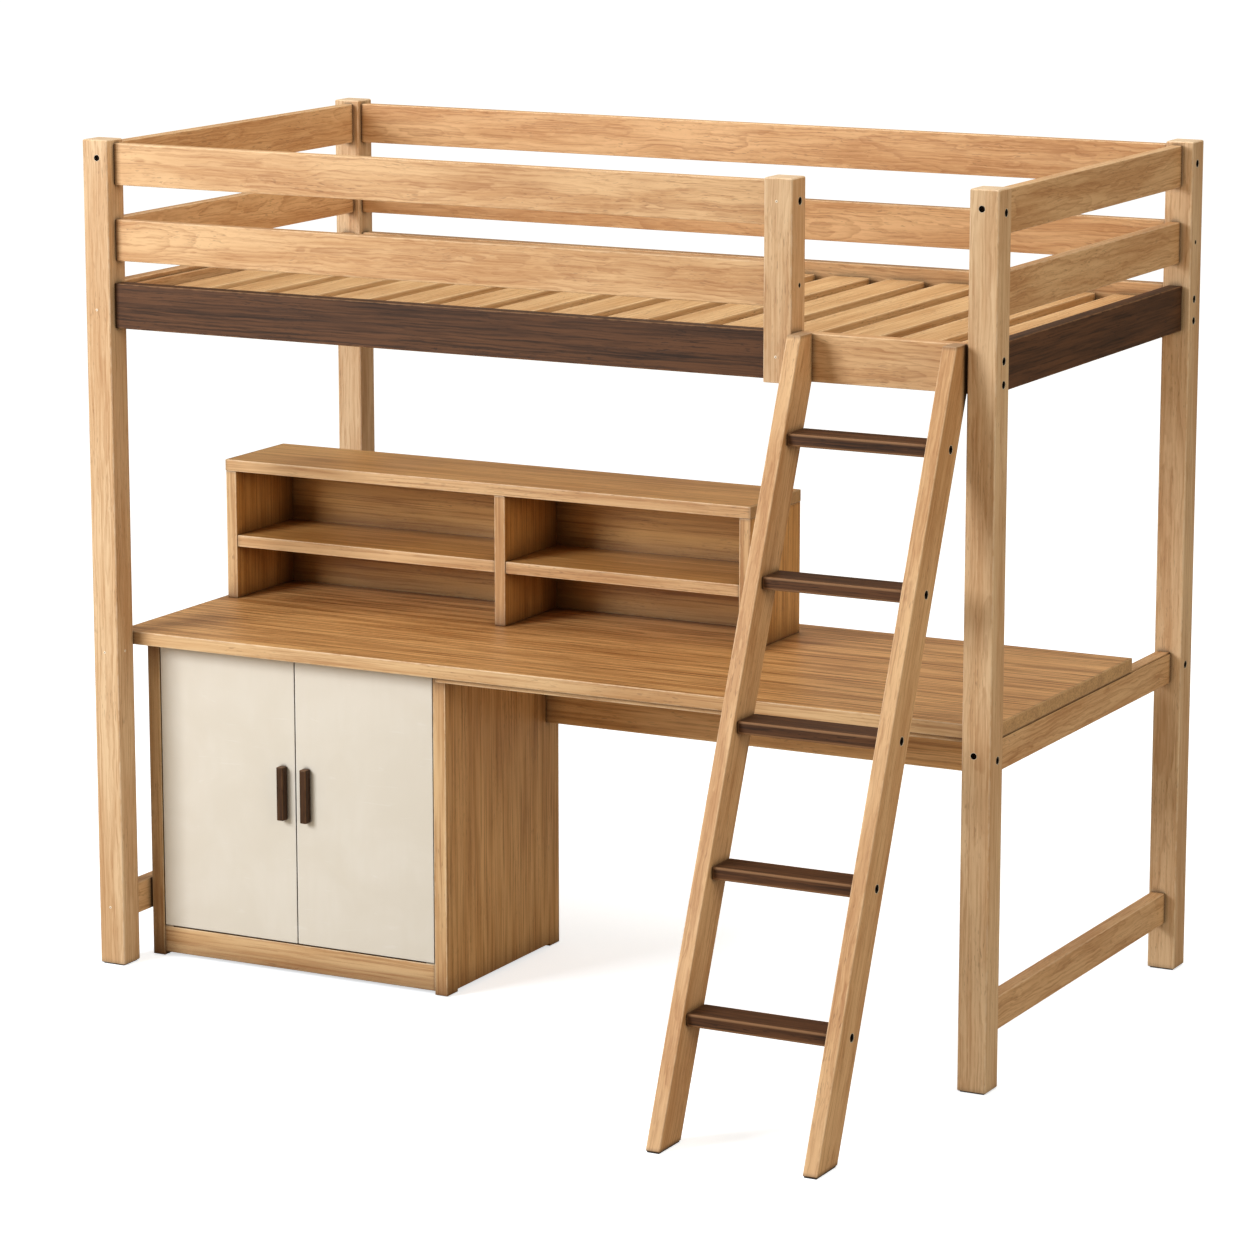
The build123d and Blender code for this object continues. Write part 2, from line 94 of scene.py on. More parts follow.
class Wiring:
    """Adds nodes to one node tree and joins them."""

    def __init__(self, tree: bpy.types.NodeTree) -> None:
        """Take a tree and clear it.

        Args:
            tree: The shader or geometry tree to fill.
        """
        self.tree = tree
        tree.nodes.clear()

    def add(
        self,
        kind: str,
        options: dict[str, object] | None = None,
        inputs: dict[str | int, Feed] | None = None,
    ) -> bpy.types.Node:
        """Add one node.

        Args:
            kind: The node's type name.
            options: The node's own settings.
            inputs: A value or another node's socket for each input, by name or number.

        Returns:
            The new node.
        """
        node = self.tree.nodes.new(kind)
        for name, value in (options or {}).items():
            setattr(node, name, value)
        for key, value in (inputs or {}).items():
            self.feed(node.inputs[key], value)
        return node

    def feed(self, socket: Socket, value: Feed) -> None:
        """Link a socket to another, or set its value.

        Args:
            socket: The input to fill.
            value: The socket to link from, or the value to set.
        """
        if isinstance(value, bpy.types.NodeSocket):
            self.tree.links.new(value, socket)
        elif socket.type == "RGBA" and len(value) == 3:
            socket.default_value = (*value, 1.0)
        else:
            socket.default_value = value

    def out(
        self,
        kind: str,
        options: dict[str, object] | None = None,
        inputs: dict[str | int, Feed] | None = None,
    ) -> Socket:
        """Add one node and return its first output."""
        return self.add(kind, options, inputs).outputs[0]

    def combine(self, x: Feed = 0.0, y: Feed = 0.0, z: Feed = 0.0) -> Socket:
        """Return a vector made of three numbers."""
        return self.out("ShaderNodeCombineXYZ", inputs={0: x, 1: y, 2: z})

    def split(self, vector: Feed) -> bpy.types.NodeOutputs:
        """Return a vector's three numbers."""
        return self.add("ShaderNodeSeparateXYZ", inputs={0: vector}).outputs

    def math(self, operation: str, *values: Feed) -> Socket:
        """Return the result of a Math node."""
        return self.out("ShaderNodeMath", {"operation": operation}, dict(enumerate(values)))

    def times(self, first: Feed, second: Feed) -> Socket:
        """Return two numbers multiplied."""
        return self.math("MULTIPLY", first, second)

    def vector(self, operation: str, *values: Feed) -> Socket:
        """Return the vector or value that a Vector Math node gives."""
        node = self.add("ShaderNodeVectorMath", {"operation": operation}, dict(enumerate(values)))
        return node.outputs["Value" if operation in ("LENGTH", "DOT_PRODUCT") else "Vector"]

    def stretch(self, vector: Feed, factors: Feed) -> Socket:
        """Return a vector multiplied axis by axis."""
        return self.vector("MULTIPLY", vector, factors)

    def scaled(self, vector: Feed, factor: Feed) -> Socket:
        """Return a vector times a number."""
        inputs = {0: vector, "Scale": factor}
        return self.out("ShaderNodeVectorMath", {"operation": "SCALE"}, inputs)

    def ease(
        self, value: Feed, low: Feed, high: Feed, start: float = 0.0, end: float = 1.0
    ) -> Socket:
        """Return a value carried smoothly from one range to another.

        Args:
            value: The value to carry.
            low: Where the change begins.
            high: Where the change ends.
            start: The result at and before low.
            end: The result at and after high.

        Returns:
            The eased value's socket.
        """
        inputs = {0: value, 1: low, 2: high, 3: start, 4: end}
        return self.out("ShaderNodeMapRange", {"interpolation_type": "SMOOTHSTEP"}, inputs)

    def blend(self, factor: Feed, first: Feed, second: Feed) -> Socket:
        """Return the second colour blended over the first by a factor from 0 to 1."""
        inputs = {0: factor, 6: first, 7: second}
        return self.add("ShaderNodeMix", {"data_type": "RGBA"}, inputs).outputs[2]

    def noise(
        self, vector: Feed, detail: float = 2.0, roughness: float = 0.5, distortion: float = 0.0
    ) -> bpy.types.Node:
        """Return a Noise Texture of unit scale on coordinates already stretched.

        Args:
            vector: The coordinates.
            detail: How many finer layers it has.
            roughness: How strong the finer layers are.
            distortion: How far the pattern is stirred.

        Returns:
            The texture node, with outputs Fac and Color.
        """
        inputs = {
            "Vector": vector, "Scale": 1.0, "Detail": detail,
            "Roughness": roughness, "Distortion": distortion,
        }
        return self.add("ShaderNodeTexNoise", inputs=inputs)

    def cloud(self, vector: Feed, *settings: float) -> Socket:
        """Return the value of a Noise Texture."""
        return self.noise(vector, *settings).outputs["Fac"]

    def surface(self, values: dict[str, Feed]) -> None:
        """Close a material with a Principled BSDF of these values."""
        shader = self.out("ShaderNodeBsdfPrincipled", inputs=values)
        self.add("ShaderNodeOutputMaterial", inputs={"Surface": shader})

    def attribute(self, name: str, output: str) -> Socket:
        """Return one output of a mesh attribute that a material reads."""
        return self.add("ShaderNodeAttribute", {"attribute_name": name}).outputs[output]


def open_tree(
    tree: bpy.types.NodeTree, takes: dict[str, str], gives: dict[str, str]
) -> tuple[Wiring, bpy.types.NodeOutputs]:
    """Give a group its named sockets and its input node.

    Args:
        tree: The new group.
        takes: The kind of each input by name.
        gives: The kind of each output by name.

    Returns:
        Wiring on the tree, and the tree's inputs as sockets.
    """
    for side, sockets in (("INPUT", takes), ("OUTPUT", gives)):
        for name, kind in sockets.items():
            tree.interface.new_socket(name, in_out=side, socket_type=kind)
    w = Wiring(tree)
    return w, w.add("NodeGroupInput").outputs


# ---------------------------------------------------------------- shared shader effects


class SharedEffect:
    """A shader node group with named inputs and outputs, built once and placed many times."""

    name: ClassVar[str]
    takes: ClassVar[dict[str, str]]
    gives: ClassVar[tuple[str, ...]]
    _trees: ClassVar[dict[str, bpy.types.NodeTree]] = {}

    @classmethod
    def wire(cls, w: Wiring, given: bpy.types.NodeOutputs) -> dict[str, Socket]:
        """Fill the group. Each effect has its own version.

        Args:
            w: Wiring on the group's tree.
            given: The group's inputs.

        Returns:
            The group's results by name.
        """
        raise NotImplementedError

    @classmethod
    def tree(cls) -> bpy.types.NodeTree:
        """Return the group's tree, made on the first call."""
        if cls.name not in cls._trees:
            tree = bpy.data.node_groups.new(cls.name, "ShaderNodeTree")
            w, given = open_tree(tree, cls.takes, dict.fromkeys(cls.gives, FLOAT))
            w.add("NodeGroupOutput", inputs=cls.wire(w, given))
            cls._trees[cls.name] = tree
        return cls._trees[cls.name]

    @classmethod
    def place(cls, w: Wiring, values: dict[str, Feed]) -> bpy.types.NodeOutputs:
        """Place the group in a material.

        Args:
            w: Wiring on the material's tree.
            values: A value or socket for each of the group's inputs.

        Returns:
            The placed group's outputs.
        """
        return w.add("ShaderNodeGroup", {"node_tree": cls.tree()}, values).outputs


class TimberGrain(SharedEffect):
    """Growth rings, fibres and flecks of a board whose length runs along the vector's X."""

    name = "TimberGrain"
    takes = {
        "Vector": VECTOR, "Ring Width": FLOAT, "Wander": FLOAT, "Fibre Width": FLOAT,
        "Band Width": FLOAT,
    }
    gives = ("Rings", "Fibre", "Fleck", "Drift", "Height")

    @classmethod
    def wire(cls, w: Wiring, given: bpy.types.NodeOutputs) -> dict[str, Socket]:
        """Fill the group: bent growth rings, long fibres, short flecks and slow drift.

        Args:
            w: Wiring on the group's tree.
            given: The group's inputs.

        Returns:
            The group's results by name.
        """
        place, wander, middle = given["Vector"], given["Wander"], (0.5, 0.5, 0.5)
        slow = w.noise(w.stretch(place, (1.3, 7.0, 7.0)), 2.0).outputs["Color"]
        quick = w.noise(w.stretch(place, (8.0, 24.0, 24.0)), 3.0, 0.55).outputs["Color"]
        sway = w.scaled(w.vector("SUBTRACT", slow, middle), wander)
        curl = w.scaled(w.vector("SUBTRACT", quick, middle), w.times(wander, 0.22))
        bent = w.vector("ADD", w.vector("ADD", place, sway), curl)

        radius = w.vector("LENGTH", w.stretch(bent, (0.0, 1.0, 1.0)))
        turn = w.math("DIVIDE", radius, given["Ring Width"])
        rise = w.math("FRACT", turn)
        inputs = {"W": w.math("FLOOR", turn)}
        year = w.out("ShaderNodeTexWhiteNoise", {"noise_dimensions": "1D"}, inputs)
        late = w.times(w.math("POWER", rise, 2.4), w.ease(rise, 0.9, 1.0, 1.0, 0.0))
        rings = w.times(late, w.ease(year, 0.0, 1.0, 0.35, 1.0))

        thin = w.math("DIVIDE", 1.0, given["Fibre Width"])
        strand = w.stretch(w.vector("ADD", place, curl), w.combine(3.5, thin, thin))
        fibre = w.cloud(strand, 4.0, 0.62)
        dash = w.cloud(w.stretch(bent, (48.0, 420.0, 420.0)), 1.0)
        patch = w.cloud(w.stretch(place, (5.0, 16.0, 16.0)), 1.0)
        fleck = w.times(w.ease(dash, 0.62, 0.7), w.ease(patch, 0.42, 0.6))
        wide = w.math("DIVIDE", 1.0, given["Band Width"])
        drift = w.cloud(w.stretch(bent, w.combine(2.2, wide, wide)), 3.0, 0.55)

        height = w.math("MULTIPLY_ADD", rings, -0.35, w.times(fibre, 0.6))
        height = w.math("MULTIPLY_ADD", fleck, -0.5, height)
        return dict(zip(cls.gives, (rings, fibre, fleck, drift, height)))


class ArrisWear(SharedEffect):
    """Masks for the arrises, the end faces and the last few millimetres of a square board; the
    last is for painted shade where the board meets another.
    """

    name = "ArrisWear"
    takes = {
        "Vector": VECTOR, "Centre": VECTOR, "Half": VECTOR, "Length Axis": VECTOR,
        "Lean": FLOAT, "Reach": FLOAT,
    }
    gives = ("Arris", "End Face", "Joint")
    end_from: ClassVar[float] = 0.4 * MM
    end_to: ClassVar[float] = 1.2 * MM
    joint_reach: ClassVar[float] = 9 * MM

    @classmethod
    def wire(cls, w: Wiring, given: bpy.types.NodeOutputs) -> dict[str, Socket]:
        """Fill the group from the distances to the board's six faces.

        Args:
            w: Wiring on the group's tree.
            given: The group's inputs.

        Returns:
            The group's results by name.
        """
        x, y, z = w.split(given["Vector"])
        upright = w.combine(x, w.math("SUBTRACT", y, w.times(z, given["Lean"])), z)
        from_middle = w.vector("ABSOLUTE", w.vector("SUBTRACT", upright, given["Centre"]))
        to_faces = w.vector("SUBTRACT", given["Half"], from_middle)
        near = w.split(to_faces)
        lesser, greater = (w.math(kind, near[0], near[1]) for kind in ("MINIMUM", "MAXIMUM"))
        to_arris = w.math("MAXIMUM", lesser, w.math("MINIMUM", greater, near[2]))

        wobble = w.cloud(w.stretch(given["Vector"], (38.0, 38.0, 38.0)), 3.0, 0.6)
        reach = w.times(given["Reach"], w.ease(wobble, 0.3, 0.7, 0.45, 1.5))
        to_end = w.vector("DOT_PRODUCT", to_faces, given["Length Axis"])
        return {
            "Arris": w.ease(to_arris, 0.0, reach, 1.0, 0.0),
            "End Face": w.ease(to_end, cls.end_from, cls.end_to, 1.0, 0.0),
            "Joint": w.ease(to_end, 0.0, cls.joint_reach, 1.0, 0.0),
        }


class Handling(SharedEffect):
    """Faint clouds that hands and polishing leave, for roughness and a little colour."""

    name = "Handling"
    takes = {"Vector": VECTOR, "Size": FLOAT}
    gives = ("Cloud", "Scuff")

    @classmethod
    def wire(cls, w: Wiring, given: bpy.types.NodeOutputs) -> dict[str, Socket]:
        """Fill the group with soft clouds and a few fine scuffs.

        Args:
            w: Wiring on the group's tree.
            given: The group's inputs.

        Returns:
            The group's results by name.
        """
        wide = w.scaled(given["Vector"], w.math("DIVIDE", 1.0, given["Size"]))
        line = w.cloud(w.stretch(wide, (2.0, 34.0, 11.0)), 2.0, 0.5, 0.8)
        return {"Cloud": w.cloud(wide, 3.0, 0.55, 0.6), "Scuff": w.ease(line, 0.66, 0.74)}


# ---------------------------------------------------------------- how a board lies


class Run(Enum):
    """The direction that a board's length and grain run in."""

    X = (1.0, 0.0, 0.0)
    Y = (0.0, 1.0, 0.0)
    Z = (0.0, 0.0, 1.0)

    def turn(self, lean: float = 0.0) -> Triple:
        """Return the Mapping turn that brings this direction to X.

        Args:
            lean: Level run for each unit of height, for a leaning board.

        Returns:
            The turn as XYZ angles in radians.
        """
        if self is Run.X:
            return (0.0, 0.0, 0.0)
        if self is Run.Y:
            return (0.0, 0.0, -math.pi / 2)
        return (math.atan(lean), math.pi / 2, 0.0)


class Edges(Enum):
    """Where a finish reads its arrises from."""

    SQUARE_BOARD = "box"
    OWN_MARKS = "marks"


def corners(node: str) -> tuple[Vector, Vector]:
    """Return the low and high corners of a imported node's box."""
    low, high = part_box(node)
    return Vector(low), Vector(high)


@dataclass(frozen=True)
class Lay:
    """How one board lies, for its grain and its arrises."""

    name: str
    centre: Triple
    half: Triple
    run: Run
    lean: float = 0.0
    edges: Edges = Edges.SQUARE_BOARD

    @classmethod
    def of_node(cls, node: str, run: Run) -> "Lay":
        """Return the lay of a packed board that is square to the axes.

        Args:
            node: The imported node's name.
            run: The direction of its length.

        Returns:
            Its lay.
        """
        low, high = corners(node)
        return cls(node, tuple((low + high) / 2), tuple((high - low) / 2), run)

    @classmethod
    def of_marked(cls, name: str, run: Run) -> "Lay":
        """Return the lay of a run of like boards that carry their own marks."""
        return cls(name, (0.0, 0.0, 0.0), (1.0, 1.0, 1.0), run, edges=Edges.OWN_MARKS)


# ---------------------------------------------------------------- finishes


@dataclass(frozen=True)
class Finish:
    """What every finish has: its name, its slot and its gloss."""

    name: str
    slot: str
    gloss: tuple[float, float] = (0.42, 0.6)
    bump: float = 0.2
    coat: float = 0.0
    coat_roughness: float = 0.3
    metallic: float = 0.0
    specular: float = 0.5
    # Painted shade: the next three fields set how strongly and how far an Ambient Occlusion mask
    # darkens the colour in corners, gaps and between parts, and the dark colour it darkens
    # toward.
    corner_shade: float = 0.6
    crevice_reach: float = 0.03
    corner_shade_colour: Colour = (0.035, 0.016, 0.006)
    relief: ClassVar[float] = 0.7 * MM
    sky_samples: ClassVar[int] = 6

    def colour(self, w: Wiring, place: Socket, lay: Lay) -> Look:
        """Return the colour, the gloss mask and the height. Each finish has its own version.

        Args:
            w: Wiring on the material's tree.
            place: The board's object coordinates.
            lay: How the board lies.

        Returns:
            The colour, a mask from smooth to rough, and a height.
        """
        raise NotImplementedError

    def material(self, lay: Lay) -> bpy.types.Material:
        """Make this finish for one board.

        Args:
            lay: How the board lies.

        Returns:
            The new material.
        """
        made = bpy.data.materials.new(f"{self.name}_{lay.name}")
        made.use_nodes = True
        w = Wiring(made.node_tree)
        place = w.add("ShaderNodeTexCoord").outputs["Object"]
        colour, rough, height = self.colour(w, place, lay)
        # Painted shade: darken the colour toward the dark shade colour where the Ambient
        # Occlusion mask finds corners, gaps and parts close by.
        inputs = {"Distance": self.crevice_reach}
        sky = w.add("ShaderNodeAmbientOcclusion", {"samples": self.sky_samples}, inputs)
        painted_corner_shade = w.ease(sky.outputs["AO"], 0.3, 0.92, self.corner_shade, 0.0)
        inputs = {"Strength": self.bump, "Distance": self.relief, "Height": height}
        w.surface({
            "Base Color": w.blend(painted_corner_shade, colour, self.corner_shade_colour),
            "Roughness": w.ease(rough, 0.0, 1.0, *self.gloss),
            "Metallic": self.metallic,
            "Specular IOR Level": self.specular,
            "Coat Weight": self.coat,
            "Coat Roughness": self.coat_roughness,
            "Normal": w.out("ShaderNodeBump", inputs=inputs),
        })
        return made

    def arrises(self, w: Wiring, place: Socket, lay: Lay, reach: float) -> Masks:
        """Return the arris, end and joint masks for a board; the joint mask is for painted shade.

        Args:
            w: Wiring on the material's tree.
            place: The board's object coordinates.
            lay: How the board lies.
            reach: How far the arris paling, part wear and part painted highlight, comes in from
                an arris, in metres.

        Returns:
            The masks by name.
        """
        if lay.edges is Edges.OWN_MARKS:
            mark = w.ease(w.attribute("arris", "Fac"), 0.25, 1.0)
            return {"Arris": mark, "End Face": 0.0, "Joint": 0.0}
        values = {
            "Vector": place, "Centre": lay.centre, "Half": lay.half,
            "Length Axis": lay.run.value, "Lean": lay.lean, "Reach": reach,
        }
        return ArrisWear.place(w, values)


@dataclass(frozen=True, kw_only=True)
class Timber(Finish):
    """A timber or veneer with its grain along each board."""

    pale: Colour
    warm: Colour
    deep: Colour
    fleck: Colour
    edge: Colour
    ring_width: float
    wander: float
    fibre_width: float = 0.004
    rings: float
    fibres: float
    flecks: float
    band_width: float
    # The next field sets painted shade over a board's last millimetres, where it meets another.
    joint_shade: float = 0.4
    # The next two fields set the paling of the arrises: part wear, part painted highlight.
    wear_and_highlight: float
    wear_and_highlight_reach: float = 0.0035
    heart: tuple[float, float] = (0.05, 0.09)
    end_wear: float = 0.35
    hand_span: float = 0.22

    def along_grain(self, w: Wiring, place: Socket, lay: Lay) -> Socket:
        """Return coordinates with the board's length along X and its heart off to one side.

        Args:
            w: Wiring on the material's tree.
            place: The board's object coordinates.
            lay: How the board lies.

        Returns:
            The grain coordinates.
        """
        draw = random.Random(lot_number(lay.name))
        near, far = self.heart
        away = draw.uniform(near, far) * draw.choice((-1.0, 1.0))
        aside = draw.uniform(-0.35, 0.35) * near
        offset = Vector((draw.uniform(0.0, 9.0), away, aside))
        if lay.half[2] < lay.half[1] and lay.run is Run.X:
            offset.y, offset.z = offset.z, offset.y
        centred = w.vector("SUBTRACT", place, lay.centre)
        if lay.edges is Edges.OWN_MARKS:
            centred = w.vector("ADD", place, w.attribute("lot", "Vector"))
        turn = lay.run.turn(lay.lean)
        inputs = {"Vector": centred, "Location": tuple(offset), "Rotation": turn}
        return w.out("ShaderNodeMapping", {"vector_type": "POINT"}, inputs)

    def colour(self, w: Wiring, place: Socket, lay: Lay) -> Look:
        """Return the timber's colour, gloss mask and height.

        Args:
            w: Wiring on the material's tree.
            place: The board's object coordinates.
            lay: How the board lies.

        Returns:
            The colour, a mask from smooth to rough, and a height.
        """
        values = {
            "Vector": self.along_grain(w, place, lay), "Ring Width": self.ring_width,
            "Wander": self.wander, "Fibre Width": self.fibre_width,
            "Band Width": self.band_width,
        }
        grain = TimberGrain.place(w, values)
        hands = Handling.place(w, {"Vector": place, "Size": self.hand_span})
        edges = self.arrises(w, place, lay, self.wear_and_highlight_reach)

        tone = w.blend(w.ease(grain["Drift"], 0.36, 0.64), self.pale, self.warm)
        tone = w.blend(w.times(grain["Rings"], self.rings), tone, self.deep)
        dark = w.ease(grain["Fibre"], 0.47, 0.68, 0.0, self.fibres)
        light = w.ease(grain["Fibre"], 0.5, 0.32, 0.0, self.fibres)
        tone = w.blend(light, w.blend(dark, tone, self.deep), self.pale)
        # Painted over the grain: flecks; arrises paled, part wear and part painted highlight;
        # paler end grain; and painted shade at the board's ends, where it meets another.
        for mask, amount, over in (
            (grain["Fleck"], self.flecks, self.fleck),
            (edges["Arris"], self.wear_and_highlight, self.edge),
            (edges["End Face"], self.end_wear, self.edge),
            (edges["Joint"], self.joint_shade, self.fleck),
        ):
            tone = w.blend(w.times(mask, amount), tone, over)
        rough = w.math("MULTIPLY_ADD", grain["Fibre"], 0.6, w.times(hands["Cloud"], 0.5))
        return tone, rough, grain["Height"]


@dataclass(frozen=True, kw_only=True)
class FacedTimber(Timber):
    """A board with one timber on the face that looks outward and another on its other faces."""

    bare: Timber
    outward: Triple

    @classmethod
    def over(cls, name: str, face: Timber, bare: Timber, outward: Triple) -> "FacedTimber":
        """Return a finish with one timber facing outward over another.

        Args:
            name: The finish's name.
            face: The timber of the outward face.
            bare: The timber of the other faces.
            outward: The way the outward face looks.

        Returns:
            The finish.
        """
        own = {
            **vars(face), "name": name, "slot": bare.slot, "corner_shade": bare.corner_shade,
            "crevice_reach": bare.crevice_reach, "corner_shade_colour": bare.corner_shade_colour,
        }
        return cls(**own, bare=bare, outward=outward)

    def colour(self, w: Wiring, place: Socket, lay: Lay) -> Look:
        """Return the facing's colour on the outward face and the bare timber's elsewhere.

        Args:
            w: Wiring on the material's tree.
            place: The board's object coordinates.
            lay: How the board lies.

        Returns:
            The colour, a mask from smooth to rough, and a height.
        """
        facing, rough, height = super().colour(w, place, lay)
        bare, _, _ = self.bare.colour(w, place, lay)
        normal = w.add("ShaderNodeNewGeometry").outputs["True Normal"]
        outer = w.ease(w.vector("DOT_PRODUCT", normal, self.outward), 0.4, 0.6)
        return w.blend(outer, bare, facing), rough, height


@dataclass(frozen=True, kw_only=True)
class Paint(Finish):
    """Satin paint rolled on board."""

    body: Colour
    shade: Colour
    edge: Colour
    # The next field sets the arris paling: part wear, part painted highlight.
    wear_and_highlight: float = 0.6

    def colour(self, w: Wiring, place: Socket, lay: Lay) -> Look:
        """Return the paint's colour, gloss mask and height.

        Args:
            w: Wiring on the material's tree.
            place: The board's object coordinates.
            lay: How the board lies.

        Returns:
            The colour, a mask from smooth to rough, and a height.
        """
        hands = Handling.place(w, {"Vector": place, "Size": 0.16})
        edges = self.arrises(w, place, lay, 0.0028)
        stipple = w.cloud(w.scaled(place, 520.0), 2.0, 0.6)
        nap = w.cloud(w.stretch(place, (60.0, 60.0, 9.0)), 3.0)
        tone = w.blend(w.ease(hands["Cloud"], 0.3, 0.7), self.body, self.shade)
        tone = w.blend(w.ease(nap, 0.35, 0.75, 0.0, 0.35), tone, self.shade)
        tone = w.blend(w.times(hands["Scuff"], 0.12), tone, self.edge)
        # Arris paling: part wear, part painted highlight.
        tone = w.blend(w.times(edges["Arris"], self.wear_and_highlight), tone, self.edge)
        rough = w.math("MULTIPLY_ADD", stipple, 0.5, w.times(hands["Cloud"], 0.5))
        return tone, rough, w.math("MULTIPLY_ADD", nap, 0.4, stipple)


@dataclass(frozen=True, kw_only=True)
class Metal(Finish):
    """Plated or blackened steel, with fine turning lines."""

    body: Colour
    shade: Colour
    metallic: float = 1.0

    def colour(self, w: Wiring, place: Socket, lay: Lay) -> Look:
        """Return the metal's colour, gloss mask and height.

        Args:
            w: Wiring on the material's tree.
            place: The piece's object coordinates.
            lay: How the piece lies.

        Returns:
            The colour, a mask from smooth to rough, and a height.
        """
        hands = Handling.place(w, {"Vector": place, "Size": 0.012})
        lines = w.cloud(w.stretch(place, (900.0, 900.0, 5200.0)), 2.0)
        tone = w.blend(w.ease(hands["Cloud"], 0.35, 0.65), self.body, self.shade)
        tone = w.blend(w.ease(lines, 0.5, 0.8, 0.0, 0.4), tone, self.shade)
        rough = w.math("MULTIPLY_ADD", lines, 0.5, w.times(hands["Cloud"], 0.5))
        return tone, rough, lines


@dataclass(frozen=True)
class Rubber(Finish):
    """Moulded rubber or felted plastic for pads and catches."""

    body: Colour = (0.03, 0.028, 0.025)
    shade: Colour = (0.06, 0.055, 0.05)

    def colour(self, w: Wiring, place: Socket, lay: Lay) -> Look:
        """Return the rubber's colour, gloss mask and height.

        Args:
            w: Wiring on the material's tree.
            place: The piece's object coordinates.
            lay: How the piece lies.

        Returns:
            The colour, a mask from smooth to rough, and a height.
        """
        hands = Handling.place(w, {"Vector": place, "Size": 0.03})
        pebble = w.cloud(w.scaled(place, 1400.0), 2.0, 0.6)
        tone = w.blend(w.ease(hands["Cloud"], 0.3, 0.75), self.body, self.shade)
        return tone, w.math("ADD", pebble, hands["Scuff"]), pebble


FRAME_OAK = Timber(
    "frame_oak", "frame_wood", pale=tint(226, 196, 157), warm=tint(206, 168, 126),
    deep=tint(170, 122, 77), fleck=tint(96, 58, 30), edge=tint(242, 225, 200),
    ring_width=0.006, wander=0.05, fibre_width=0.0034, band_width=0.05, rings=0.55,
    fibres=0.5, flecks=0.3, joint_shade=0.0, wear_and_highlight=0.45, bump=0.22, coat=0.04, specular=0.35,
    corner_shade=0.8, crevice_reach=0.02,
)
RAIL_OAK = Timber(
    "rail_oak", "rail_wood", pale=tint(223, 184, 137), warm=tint(199, 153, 105),
    deep=tint(159, 106, 61), fleck=tint(88, 50, 24), edge=tint(239, 212, 175),
    ring_width=0.0062, wander=0.08, fibre_width=0.0038, band_width=0.055, rings=0.6,
    fibres=0.5, flecks=0.32, joint_shade=0.5, wear_and_highlight=0.5, bump=0.22, coat=0.04, specular=0.35,
    corner_shade=0.85, crevice_reach=0.02,
)
DESK_OAK = Timber(
    "desk_oak", "desk_wood", pale=tint(240, 189, 124), warm=tint(196, 143, 85),
    deep=tint(138, 86, 38), fleck=tint(84, 46, 20), edge=tint(248, 213, 158),
    ring_width=0.012, wander=0.02, fibre_width=0.0044, band_width=0.028, rings=0.45,
    fibres=0.95, flecks=0.35, joint_shade=0.35, wear_and_highlight=0.6, bump=0.14, gloss=(0.34, 0.5),
    coat=0.06, specular=0.4, heart=(0.14, 0.3),
    corner_shade=0.85, crevice_reach=0.06, corner_shade_colour=(0.06, 0.022, 0.005),
)
PANEL_OAK = replace(
    DESK_OAK, name="panel_oak", pale=tint(240, 196, 137), warm=tint(214, 165, 106),
    deep=tint(151, 99, 50), edge=tint(255, 228, 178), rings=0.3, fibres=0.6,
    crevice_reach=0.09, corner_shade_colour=(0.085, 0.024, 0.002),
)
# Painted shade: a darker, more saturated copy of the panel oak for the hutch, which stands in
# shade under the bed.
SHADED_HUTCH_OAK = replace(
    PANEL_OAK, name="hutch_oak", pale=tint(227, 179, 110), warm=tint(202, 151, 84),
    deep=tint(143, 90, 38), corner_shade=0.92,
)
# Painted light: a paler copy of the panel oak, with less painted shade, for faces that look to
# the front, where the light falls.
LIT_FRONT_OAK = replace(
    PANEL_OAK, name="edge_oak", pale=tint(221, 186, 140), warm=tint(197, 154, 107),
    deep=tint(157, 107, 63), edge=tint(237, 214, 179), corner_shade=0.8, crevice_reach=0.02,
)
SLAT_PINE = Timber(
    "slat_pine", "slat_wood", pale=tint(228, 191, 141), warm=tint(207, 164, 112),
    deep=tint(168, 117, 66), fleck=tint(96, 58, 30), edge=tint(245, 220, 180),
    ring_width=0.008, wander=0.035, band_width=0.05, rings=0.45, fibres=0.55, flecks=0.5,
    wear_and_highlight=0.4, bump=0.25, specular=0.35,
    corner_shade=0.9, crevice_reach=0.035,
)
WALNUT = Timber(
    "walnut", "dark_wood", pale=tint(97, 63, 39), warm=tint(73, 46, 28),
    deep=tint(33, 19, 10), fleck=tint(18, 11, 8), edge=tint(148, 110, 76),
    ring_width=0.007, wander=0.035, fibre_width=0.0042, band_width=0.025, rings=0.5,
    fibres=0.75, flecks=0.5, joint_shade=0.5, wear_and_highlight=0.75, wear_and_highlight_reach=0.0032, bump=0.28,
    gloss=(0.42, 0.6), coat=0.02, specular=0.22,
    corner_shade=0.85, crevice_reach=0.02,
)
LEFT, RIGHT, FRONT = (-1.0, 0.0, 0.0), (1.0, 0.0, 0.0), (0.0, -1.0, 0.0)
FACED_WALNUT = FacedTimber.over("faced_walnut", WALNUT, RAIL_OAK, LEFT)
